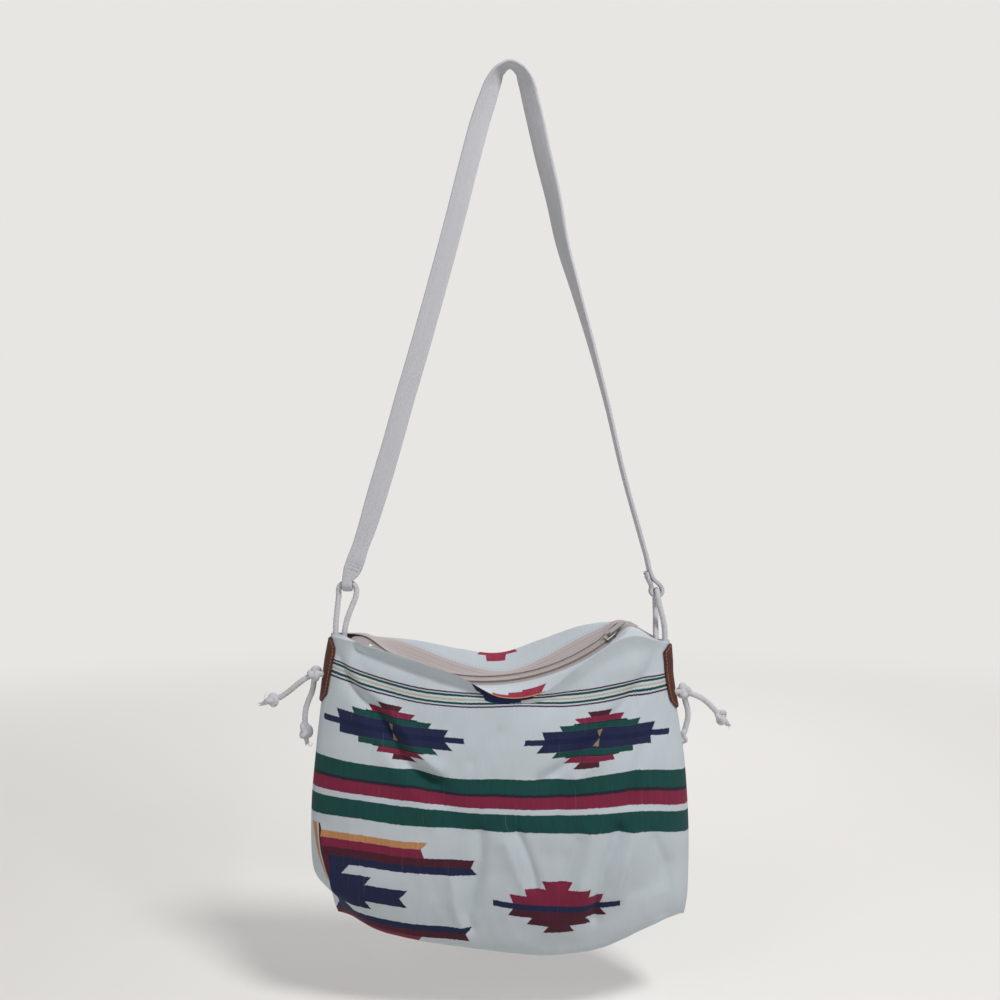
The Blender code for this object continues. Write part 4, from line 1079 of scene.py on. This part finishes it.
def outward(grid, face):
    """The way out from each point of a grid that clears its sheet by one thickness: longer at a fold."""
    across = np.gradient(grid, axis=1)
    steps = np.diff(grid, axis=0)
    ways = []
    for step in (np.concatenate((steps[:1], steps)), np.concatenate((steps, steps[-1:]))):
        ways.append(unit(np.cross(step, across) if face == "front" else np.cross(across, step)))
    agree = np.sum(ways[0] * ways[1], axis=2, keepdims=True)
    out = (ways[0] + ways[1]) / np.maximum(1 + agree, LONGEST_MITRE)
    for column, x in ((0, -1.0), (-1, 1.0)):
        out[:, column] = (x, 0.0, 0.0)
    out[-1] = (0.0, 0.0, -1.0)
    out[-1, 0] = (-0.7, 0.0, -0.7)
    out[-1, -1] = (0.7, 0.0, -0.7)
    return out


def print_lengths():
    """Mean lengths of the front's cloth between the print's lines, which both panels share."""
    places = np.linspace(THIN, WIDE_FOOT, PRINT_STEPS)
    grid = np.array([columns_of(line_at(place, "front", False), CLOTH_COLUMNS) for place in places])
    fall = np.cumsum(np.linalg.norm(np.diff(grid, axis=0), axis=2).mean(axis=1))
    return [0.0] + [float(np.interp(k, places[1:], fall)) for k in (MOTIF, WIDE_TOP, WIDE_FOOT)]


# The thin stripes lie closer to the fold at the sagging middle of the lip
STRIPE_RISE = 0.0085
STRIPE_RISE_U = 0.012
STRIPE_RISE_REACH = 0.042


def print_places(grid, places):
    """Where each point lies on the flat cloth: u across from the middle, t down from the thin stripes."""
    u = np.array([lengths_along(row) for row in grid])
    for row in range(len(grid)):
        u[row] -= np.interp(CAMERA[0], grid[row, :, 0], u[row])
    fall = np.stack([lengths_along(column) for column in grid.transpose(1, 0, 2)], axis=1)
    wanted = print_lengths()
    t = np.empty_like(fall)
    thin_row = u[int(np.argmin(np.abs(places - THIN)))]
    for column in range(grid.shape[1]):
        raised = STRIPE_RISE * math.exp(-((thin_row[column] - STRIPE_RISE_U) / STRIPE_RISE_REACH) ** 2)
        own = np.interp((THIN, MOTIF, WIDE_TOP, WIDE_FOOT), places, fall[:, column])
        own[0] -= raised
        inner = np.interp(fall[:, column], own, wanted)
        above = np.minimum(fall[:, column] - own[0], 0.0)
        below = np.maximum(fall[:, column] - own[-1], 0.0)
        t[:, column] = inner + above + below
    rim = fall - fall[int(np.argmin(np.abs(places - LIP)))]
    return u, t, rim


def thick_cloth(name, outer, inner, look, u, t, rim=None, rim_u=None):
    """A closed sheet between two grids of points. rim is how far each is below the fold at the mouth."""
    rows, columns = outer.shape[:2]
    under = rows * columns
    uv_of = np.tile(np.stack([u, t], axis=-1).reshape(-1, 2), (2, 1))
    rim_of = None if rim is None else np.tile(np.stack([rim_u, rim], axis=-1).reshape(-1, 2), (2, 1))
    row, column = np.meshgrid(np.arange(rows - 1), np.arange(columns - 1), indexing="ij")
    a = (row * columns + column).ravel()
    b, c, d = a + 1, a + columns + 1, a + columns
    faces = np.concatenate([
        np.stack([a, b, c], axis=1), np.stack([a, c, d], axis=1),
        np.stack([c, b, a], axis=1) + under, np.stack([d, c, a], axis=1) + under,
    ]).tolist()
    edges = [(k * columns, (k + 1) * columns) for k in range(rows - 1)]
    edges += [((k + 1) * columns + columns - 1, k * columns + columns - 1) for k in range(rows - 1)]
    last = (rows - 1) * columns
    edges += [(k + 1, k) for k in range(columns - 1)]
    edges += [(last + k, last + k + 1) for k in range(columns - 1)]
    faces += [(p, q, under + q, under + p) for p, q in edges]
    order = np.concatenate([np.array(face) for face in faces])
    points = np.concatenate([outer.reshape(-1, 3), inner.reshape(-1, 3)])
    return add_mesh(name, points, faces, look, uv_of[order], None if rim is None else rim_of[order])


def panel(face, look):
    outer, places = cloth_rows(face, CLOTH_COLUMNS)
    u, t, rim = print_places(*cloth_rows(face, CLOTH_COLUMNS, False))
    inner = outer - outward(outer, face) * CANVAS
    rim_u = u if face == "front" else u + RIM_SHIFT
    made = thick_cloth(f"cloth_{face}", outer, inner, look, u, t, rim, rim_u)
    for side in ("left", "right"):
        cut_hole(made, side)
    settle(made, f"canvas_{face}")


# Leather tabs


def seam_place(side, height):
    """Where along FRONT_LINES a side seam passes a height."""
    end = 0 if side == "left" else -1
    places = np.linspace(0.0, SEAM, SEAM * 20 + 1)
    heights = [float(through([line[7][end] for line in FRONT_LINES], place)) for place in places]
    return float(np.interp(-height, [-h for h in heights], places))


def around_seam(side, height, distances):
    """Points on the canvas at distances round from a side seam (front above 0), and their ways out."""
    place = seam_place(side, height)
    spots = np.zeros((len(distances), 3))
    ways = np.zeros((len(distances), 3))
    distances = np.asarray(distances, float)
    for face in ("front", "back"):
        line = line_at(place, face)
        if side == "right":
            line = line[::-1]
        own = distances >= 0 if face == "front" else distances < 0
        at = at_lengths(line, np.abs(distances[own]))
        way = at_lengths(line, np.abs(distances[own]) + TAB_LOOK) - at
        turn = 1.0 if (side == "right") == (face == "front") else -1.0
        spots[own] = at
        ways[own] = unit(np.stack([-turn * way[:, 1], turn * way[:, 0], np.zeros(len(way))], axis=1))
    middle = np.abs(distances) < 1e-9
    ways[middle] = (-1.0 if side == "left" else 1.0, 0.0, 0.0)
    return spots, ways


def tab_half_width(drop):
    from_end = min(drop, TAB_LENGTH - drop)
    share = min(from_end / TAB_CHAMFER, 1.0)
    return TAB_END_HALF_WIDTH + (TAB_HALF_WIDTH - TAB_END_HALF_WIDTH) * share


def tab_top(side):
    lip = FRONT_LINES[LIP][7]
    return (lip[0] if side == "left" else lip[-1]) - TAB_TOP_DROP + CORNER_RISE


def tab_point(side, drop, distance, rise):
    spots, ways = around_seam(side, tab_top(side) - drop, [distance])
    return spots[0] + ways[0] * (TAB_ROOM + rise)


TAB_ROWS = 56
TAB_COLUMNS = 40
TAB_CROWDING = 0.35
TAB_EDGE = 0.0008


def leather_tab(side, look):
    """A patch wrapped round the side seam, its edges burnished round."""
    top = tab_top(side)
    outer, inner = [], []
    for drop in np.linspace(0.0, TAB_LENGTH, TAB_ROWS + 1):
        half = tab_half_width(drop)
        level_shares = np.linspace(-1.0, 1.0, TAB_COLUMNS + 1)
        shares = TAB_CROWDING * np.sin(math.pi / 2 * level_shares) + (1 - TAB_CROWDING) * level_shares
        spots, ways = around_seam(side, top - drop, shares * half)
        edge = np.minimum((1 - np.abs(shares)) * half, min(drop, TAB_LENGTH - drop))
        bevel = TAB_EDGE - np.sqrt(np.maximum(TAB_EDGE ** 2 - np.maximum(TAB_EDGE - edge, 0.0) ** 2, 0.0))
        inner.append(spots + ways * (TAB_ROOM + 0.35 * bevel)[:, None])
        outer.append(spots + ways * (TAB_ROOM + LEATHER - 0.9 * bevel)[:, None])
    outer, inner = np.array(outer), np.array(inner)
    across = np.broadcast_to(np.linspace(-1, 1, TAB_COLUMNS + 1), outer.shape[:2])
    down = np.broadcast_to(np.linspace(0, TAB_LENGTH, TAB_ROWS + 1)[:, None], outer.shape[:2])
    made = thick_cloth(f"tab_{side}", outer, inner, look, across, down)
    cut_hole(made, side)
    settle(made, f"leather_tab_{side}")


def hole_centre(side):
    height = tab_top(side) - HOLE_DROP[side]
    spots, _ = around_seam(side, height, [0.0])
    return np.array((spots[0][0], HOLE_Y, height))


def cut_hole(target, side):
    """Cut an oval hole along X through a target."""
    straight = HOLE_WIDTH / 2 - HOLE_HEIGHT / 2
    turn = 2 * math.pi * (np.arange(HOLE_SIDES) + 0.5) / HOLE_SIDES
    rings = []
    for end in (-0.5, 0.5):
        x = np.full(HOLE_SIDES, end * CUTTER_LENGTH)
        y = np.sign(np.cos(turn)) * straight + HOLE_HEIGHT / 2 * np.cos(turn)
        z = HOLE_HEIGHT / 2 * np.sin(turn)
        rings.append(hole_centre(side) + np.stack([x, y, z], axis=1))
    cutter = skin(f"hole_{side}", rings, None)
    reshaped(target, "BOOLEAN", operation="DIFFERENCE", solver="EXACT", object=cutter)
    bpy.data.objects.remove(cutter)


def stopper_centre(side):
    """The stopper knot rests on the leather round the hole."""
    out = TAB_ROOM + LEATHER + GAP + KNOT_SIZE[0]
    return hole_centre(side) + np.array((-out if side == "left" else out, 0.0, 0.0))


STITCH_INSET = 0.0022
STITCH_LENGTH = 0.0021
STITCH_STEP = 0.0034
STITCH_RISE = 0.00022
STITCH_SINK = 0.0001
THREAD_RADIUS = 0.00032
THREAD_SIDES = 6


def tab_stitches(side, look):
    """A line of stitches just inside the tab's edge."""
    inset, corner = STITCH_INSET, TAB_CHAMFER
    half, end_half = TAB_HALF_WIDTH - inset, TAB_END_HALF_WIDTH - 0.4 * inset
    edge = [(inset, end_half), (corner, half)]
    edge += [(TAB_LENGTH - drop, distance) for drop, distance in edge[::-1]]
    outline = [(drop, -distance) for drop, distance in edge] + edge[::-1]
    outline = np.array([(drop, distance, 0.0) for drop, distance in outline + outline[:1]])
    length = lengths_along(outline)[-1]
    parts = []
    for start in np.arange(0.0, length - STITCH_LENGTH, STITCH_STEP):
        route = []
        for share in np.linspace(0.0, 1.0, 5):
            drop, distance, _ = at_lengths(outline, [start + share * STITCH_LENGTH])[0]
            lift = STITCH_RISE * math.sin(math.pi * share) - STITCH_SINK
            route.append(tab_point(side, drop, distance, LEATHER + lift))
        parts.append(small_tube(route, THREAD_RADIUS, THREAD_SIDES))
    settle(joined(f"tab_stitches_{side}", parts, look))


# Zip

TAPE_STEPS = 150
TAPE_TAIL = 0.0180
TAPE_TAIL_STEPS = 12
TAPE_TAIL_DROP = 18.0
TAPE_TAIL_WIDTH = 0.60
COIL_PITCH = 0.0013
COIL_WIRE = 0.00034
COIL_SLANT = 0.28
STOP_BEVEL, SLIDER_BEVEL, PULL_BEVEL = 0.0004, 0.00035, 0.0003


def zip_pieces(tape, coil, metal):
    beyond = TAPE_END / ZIP_RADIUS
    half = TAPE_THICKNESS / 2
    angles = np.linspace(ZIP_LEFT - beyond, ZIP_RIGHT + beyond, TAPE_STEPS)
    for face, side in (("front", 1), ("back", -1)):
        across = side * np.concatenate([np.linspace(GAP / 2, TAPE_HALF_WIDTH, 9), [TAPE_HALF_WIDTH] * 2,
                                        np.linspace(TAPE_HALF_WIDTH, GAP / 2, 9)])
        upper = np.concatenate([[half / 2], np.full(8, half), [half * 0.8]])
        up = np.concatenate([-upper[::-1], upper])
        rings = [np.array([zip_point(a, x, z) for x, z in zip(across, up)]) for a in angles]
        for end, turn in ((0, -1), (-1, 1)):
            middle, along, _, _ = zip_frame(angles[end])
            way = turn * along
            from_middle = rings[end] - middle
            for reach in np.linspace(0.0, TAPE_TAIL, TAPE_TAIL_STEPS + 1)[1:]:
                narrow = 1 - (1 - TAPE_TAIL_WIDTH) * reach / TAPE_TAIL
                sunk = np.array((0.0, 0.0, TAPE_TAIL_DROP * reach ** 2))
                further = middle + from_middle * narrow + way * reach - sunk
                rings.insert(0 if end == 0 else len(rings), further)
        made = skin(f"tape_{face}", rings, tape, around=np.append(across, across[0]))
        settle(made, f"zip_tape_{face}")
        zip_coil(face, side, coil)
    for end in ("left", "right"):
        dress(f"zip_stop_{end}", metal, STOP_BEVEL)
    dress("zip_slider", metal, SLIDER_BEVEL)
    dress("zip_pull", metal, PULL_BEVEL)


def zip_coil(face, side, look):
    """A row of nylon teeth: one bent loop of wire for each turn, over the tape's edge."""
    foot = TAPE_THICKNESS / 2 + GAP + COIL_WIRE
    top = TAPE_THICKNESS / 2 + GAP + COIL_HEIGHT - COIL_WIRE
    outer = COIL_HALF_WIDTH - COIL_WIRE
    inner = -0.2 * COIL_HALF_WIDTH
    step = COIL_PITCH / ZIP_RADIUS
    shift = 0.5 * step if side < 0 else 0.0
    parts = []
    for k in range(int((ZIP_RIGHT - ZIP_LEFT) / step) - 1):
        angle = ZIP_LEFT + (k + 0.6) * step + shift
        loop = [(outer, foot), (0.1 * outer, foot), (inner, (foot + top) / 2), (0.1 * outer, top),
                (outer, top)]
        route = [zip_point(angle + step * COIL_SLANT * (share - 0.5), side * a, h)
                 for (a, h), share in zip(loop, np.linspace(0, 1, 5))]
        parts.append(small_tube(smooth_route(route, 3), COIL_WIRE, 6))
    settle(joined(f"coil_{face}", parts, look), f"zip_coil_{face}")


def dress(node, look, bevel):
    made = frame["nodes"][node]
    made.data.materials.clear()
    made.data.materials.append(look)
    modifier = made.modifiers.new("edge", "BEVEL")
    modifier.width = bevel
    modifier.segments = 3
    modifier.limit_method = "ANGLE"
    modifier.angle_limit = math.radians(35)


# Strap

LOOP_TURNS = (25, 0, -30, -60, -90, -120, -150, -180, -205)
HEM_ROWS = (0.0014, 0.0052)
HEM_STITCH_STEP = 0.0027
HEM_STITCH_INSET = 0.0018
HEM_STITCH_RISE = 0.08
STRAP_SIDES = 44
STRAP_ROUNDING = (0.55, 0.42)
STRAP_RIBS = 12
RIB_DEPTH = 0.00012


def rounded(wave, rounding):
    return np.sign(wave) * np.abs(wave) ** rounding


def strap_end(side):
    """Route from the hem's cut end, down round the loop that holds the cord, and up to the strap."""
    centre = LEFT_LOOP if side == "left" else RIGHT_LOOP
    main = STRAP_LEFT[0] if side == "left" else STRAP_RIGHT[-1]
    turned = -90 if side == "left" else 0
    inward = np.array((0.0, -1.0, 0.0)) if side == "left" else np.array((-1.0, 0.0, 0.0))
    radius = CORD_DIAMETER / 2 + CORD_ROOM + STRAP_THICKNESS / 2
    slope = np.array(main[:3]) - centre
    neck = np.array(main[:3]) - slope * NECK_SHARE
    slope = slope / np.linalg.norm(slope)
    layer = STRAP_THICKNESS + 2 * GAP
    squeeze = LOOP_WIDTH / STRAP_WIDTH
    route = []
    for rise in (HEM_LENGTH, HEM_LENGTH / 2, 0.0):
        route.append((*(neck + slope * rise + inward * layer), turned, main[4]))
    for turn in LOOP_TURNS:
        spin = math.radians(turn)
        spot = centre + radius * (math.cos(spin) * inward + math.sin(spin) * np.array((0.0, 0.0, 1.0)))
        route.append((*spot, turned, squeeze))
    route.append((*neck, turned, main[4]))
    return route


def strap(look):
    route = strap_end("left") + list(STRAP_LEFT) + [(0.0, 0.0, STRAP_THICKNESS / 2, 0, 1.0)]
    route += list(STRAP_RIGHT) + strap_end("right")[::-1]
    fine = smooth_route(route, 12)
    centres = fine[:, :3]
    along = unit(np.gradient(centres, axis=0))
    turned = np.radians(fine[:, 3])
    wide = np.stack([np.sin(turned), -np.cos(turned), np.zeros(len(fine))], axis=1)
    wide = unit(wide - along * np.sum(wide * along, axis=1, keepdims=True))
    thick = np.cross(along, wide)
    turn = np.linspace(0.0, 2 * math.pi, STRAP_SIDES, endpoint=False)
    a = rounded(np.cos(turn), STRAP_ROUNDING[0])
    b = rounded(np.sin(turn), STRAP_ROUNDING[1])
    rib = RIB_DEPTH * np.cos(a * math.pi * STRAP_RIBS) * np.abs(np.sin(turn))
    half = STRAP_WIDTH / 2 * fine[:, 4]
    rings = centres[:, None, :] + wide[:, None, :] * (a[None, :, None] * half[:, None, None]) \
        + thick[:, None, :] * ((b * STRAP_THICKNESS / 2 - np.sign(b) * (RIB_DEPTH - rib)))[None, :, None]
    around = np.append(a, a[0]) * STRAP_WIDTH / 2
    settle(skin("webbing", rings, look, around, lengths_along(centres)), "strap")
    hem_stitches(look, centres, wide, thick, half)


def hem_stitches(look, centres, wide, thick, half):
    """Rows of stitches across the outer face of both folded ends."""
    along = lengths_along(centres)
    parts = []
    for end, outwards in ((0.0, np.array((0.0, -1.0, 0.0))), (along[-1], np.array((-1.0, 0.0, 0.0)))):
        for row in HEM_ROWS:
            k = int(np.argmin(np.abs(along - abs(end - row))))
            out = thick[k] * math.copysign(STRAP_THICKNESS / 2, np.dot(thick[k], outwards))
            reach = half[k] - HEM_STITCH_INSET
            for start in np.arange(-reach, reach - STITCH_LENGTH, HEM_STITCH_STEP):
                route = []
                for share in np.linspace(0.0, 1.0, 5):
                    rise = 1 + HEM_STITCH_RISE * math.sin(math.pi * share)
                    route.append(centres[k] + wide[k] * (start + share * STITCH_LENGTH) + out * rise)
                parts.append(small_tube(route, THREAD_RADIUS, THREAD_SIDES))
    settle(joined("strap_stitches", parts, look))


# Cords and knots

CORD_SIDES = 20
CORD_STEP = 0.0009
CORD_STRANDS = 3
CORD_LAY = 0.012
CORD_GROOVE = 0.11
CORD_TIP = 0.45
KNOT_CORD = 0.42
KNOT_CORE = 0.62
KNOT_DETAIL = 0.00042
FIBRES = 16
FIBRE_LENGTH = 0.0042
FIBRE_STEPS = 7
FIBRE_SIDES = 5
FIBRE_RADII = (0.0004, 0.00012)
FIBRE_SPREAD = 0.45
FIBRE_BEND = 0.5
FIBRE_SCATTER = 0.0009
FIBRE_ROOT = 0.002
CURL_ROOT = 0.001
CURL_RADII = (0.00034, 0.0002)
TAIL_START = 0.72
TIP_SUNK = 0.003
TIP_BEYOND = 0.0065
CURLS = {
    "left_front": ((-0.2362, -0.0040, -0.6190), (-0.2378, -0.0042, -0.6120), (-0.2350, -0.0040, -0.6070)),
    "left_back": ((-0.1975, 0.0010, -0.6560), (-0.1935, 0.0005, -0.6600), (-0.1915, 0.0, -0.6570)),
}


def cord_rings(route, taper_end=0.0):
    length = lengths_along(route)[-1]
    fine = even(route, max(8, round(length / CORD_STEP)))
    radius = np.full(len(fine), CORD_DIAMETER / 2)
    if taper_end:
        left = length - lengths_along(fine)
        radius *= CORD_TIP + (1 - CORD_TIP) * np.clip(left / taper_end, 0.0, 1.0) ** 0.5
    twist = 2 * math.pi / CORD_LAY * CORD_STRANDS
    return fine, round_rings(fine, radius, CORD_SIDES, CORD_STRANDS, twist, CORD_GROOVE)


def cord_loop(side, out, loop, back_way, look):
    _, rings = cord_rings(smooth_route(list(out) + [tuple(loop)] + list(back_way)))
    settle(skin(f"loop_{side}", rings, look), f"cord_loop_{side}")


def knot_shape(name, centre, size, look, spin=0.0, lean=0.0):
    """A tight overhand knot: a cord wound in a trefoil, fused where its turns press together."""
    turn = np.linspace(0.0, 2 * math.pi, 90, endpoint=False)
    path = np.stack([np.sin(turn) + 2 * np.sin(2 * turn), np.cos(turn) - 2 * np.cos(2 * turn),
                     -1.3 * np.sin(3 * turn)], axis=1) / 3.0
    c, s = math.cos(spin), math.sin(spin)
    path = path @ np.array(((c, -s, 0), (s, c, 0), (0, 0, 1))).T
    c, s = math.cos(lean), math.sin(lean)
    path = path @ np.array(((1, 0, 0), (0, c, -s), (0, s, c))).T
    radius = min(size) * KNOT_CORD
    reach = np.array(size) - radius
    route = np.array(centre) + path / np.abs(path).max(axis=0) * reach
    side = unit(np.gradient(np.concatenate([route[-1:], route, route[:1]]), axis=0)[1:-1])
    normal = unit(np.cross(side, route - np.array(centre)))
    up = np.cross(side, normal)
    around = np.linspace(0, 2 * math.pi, 14, endpoint=False)
    rings = route[:, None, :] + radius * (np.cos(around)[None, :, None] * normal[:, None, :]
                                          + np.sin(around)[None, :, None] * up[:, None, :])
    count, sides = rings.shape[:2]
    faces = [(i * sides + j, i * sides + (j + 1) % sides, (i + 1) % count * sides + (j + 1) % sides,
              (i + 1) % count * sides + j) for i in range(count) for j in range(sides)]
    core = bmesh.new()
    bmesh.ops.create_icosphere(core, subdivisions=3, radius=1.0)
    inner = np.array([v.co for v in core.verts]) * np.array(size) * KNOT_CORE + np.array(centre)
    core_faces = [tuple(v.index for v in f.verts) for f in core.faces]
    core.free()
    made = joined(name, [(rings.reshape(-1, 3), faces), (inner, core_faces)], look)
    return reshaped(made, "REMESH", mode="VOXEL", voxel_size=KNOT_DETAIL, use_smooth_shade=True)


def fray(name, tip, way, look, seed, curl):
    """Loose fibres at a cut end, and one longer thread that curls away."""
    random = np.random.default_rng(seed)
    way = np.array(way) / np.linalg.norm(way)
    parts = []
    steps = np.linspace(0.0, 1.0, FIBRE_STEPS)[:, None]
    for _ in range(FIBRES):
        spread = random.normal(0.0, FIBRE_SPREAD, 3)
        bend = random.normal(0.0, FIBRE_BEND, 3)
        start = tip + random.normal(0.0, FIBRE_SCATTER, 3) - way * FIBRE_ROOT
        reach = FIBRE_LENGTH * random.uniform(0.55, 1.0)
        route = start + reach * (steps * (way + 0.5 * spread) + 0.5 * steps ** 2 * bend)
        parts.append(small_tube(route, np.linspace(*FIBRE_RADII, FIBRE_STEPS), FIBRE_SIDES))
    if curl:
        route = smooth_route([tip - way * CURL_ROOT, *curl], 6)
        parts.append(small_tube(route, np.linspace(*CURL_RADII, len(route)), FIBRE_SIDES))
    made = joined(name, parts, look)
    settle(made)
    return made


def tail(name, route, end, size, look, seed):
    """A free end: it leaves the stopper knot, passes through its own knot and ends frayed."""
    centre = stopper_centre(name.split("_")[0])
    way = unit(np.array(end) - np.array(route[-1]))
    tip = np.array(end) + way * (max(size) + TIP_BEYOND - TIP_SUNK)
    whole = smooth_route([tuple(centre)] + list(route) + [end, tuple(tip)])
    gone = np.linalg.norm((whole - centre) / np.array(KNOT_SIZE), axis=1)
    whole = whole[np.argmax(gone > TAIL_START):]
    fine, rings = cord_rings(whole, TIP_BEYOND)
    cord = skin(f"tail_{name}", rings, look)
    settle(cord, f"cord_tail_{name}")
    knot = knot_shape(f"knot_{name}", end, size, look, spin=0.7 * seed, lean=0.5 + 0.3 * seed)
    settle(knot, f"tail_knot_{name}")
    ends = fray(f"fray_{name}", tip, way, look, seed, CURLS.get(name))


def stopper(side, look):
    made = knot_shape(f"stopper_{side}", stopper_centre(side), KNOT_SIZE, look,
                      spin=0.4 if side == "left" else 1.3, lean=1.2)
    settle(made, f"stopper_knot_{side}")


def main():
    camera()
    world()
    lamps()
    floor()
    cotton = thread_look("cord", CORD_GREY, 0.0003)
    for seed, (name, route, end, size) in enumerate(TAILS, start=1):
        tail(name, route, end, size, cotton, seed)
    cord_loop("left", LEFT_CORD_OUT, LEFT_LOOP, LEFT_CORD_BACK, cotton)
    cord_loop("right", RIGHT_CORD_OUT, RIGHT_LOOP, RIGHT_CORD_BACK, cotton)
    for side in ("left", "right"):
        stopper(side, cotton)
    canvas = canvas_look()
    for face in ("front", "back"):
        panel(face, canvas)
    leather = leather_look()
    tan_thread = thread_look("stitching", THREAD_TAN, 0.0002)
    for side in ("left", "right"):
        leather_tab(side, leather)
        tab_stitches(side, tan_thread)
    zip_pieces(tape_look(), coil_look(), metal_look())
    strap(webbing_look())
    view = bpy.context.scene.view_settings
    view.view_transform = "Standard"
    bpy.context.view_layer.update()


main()
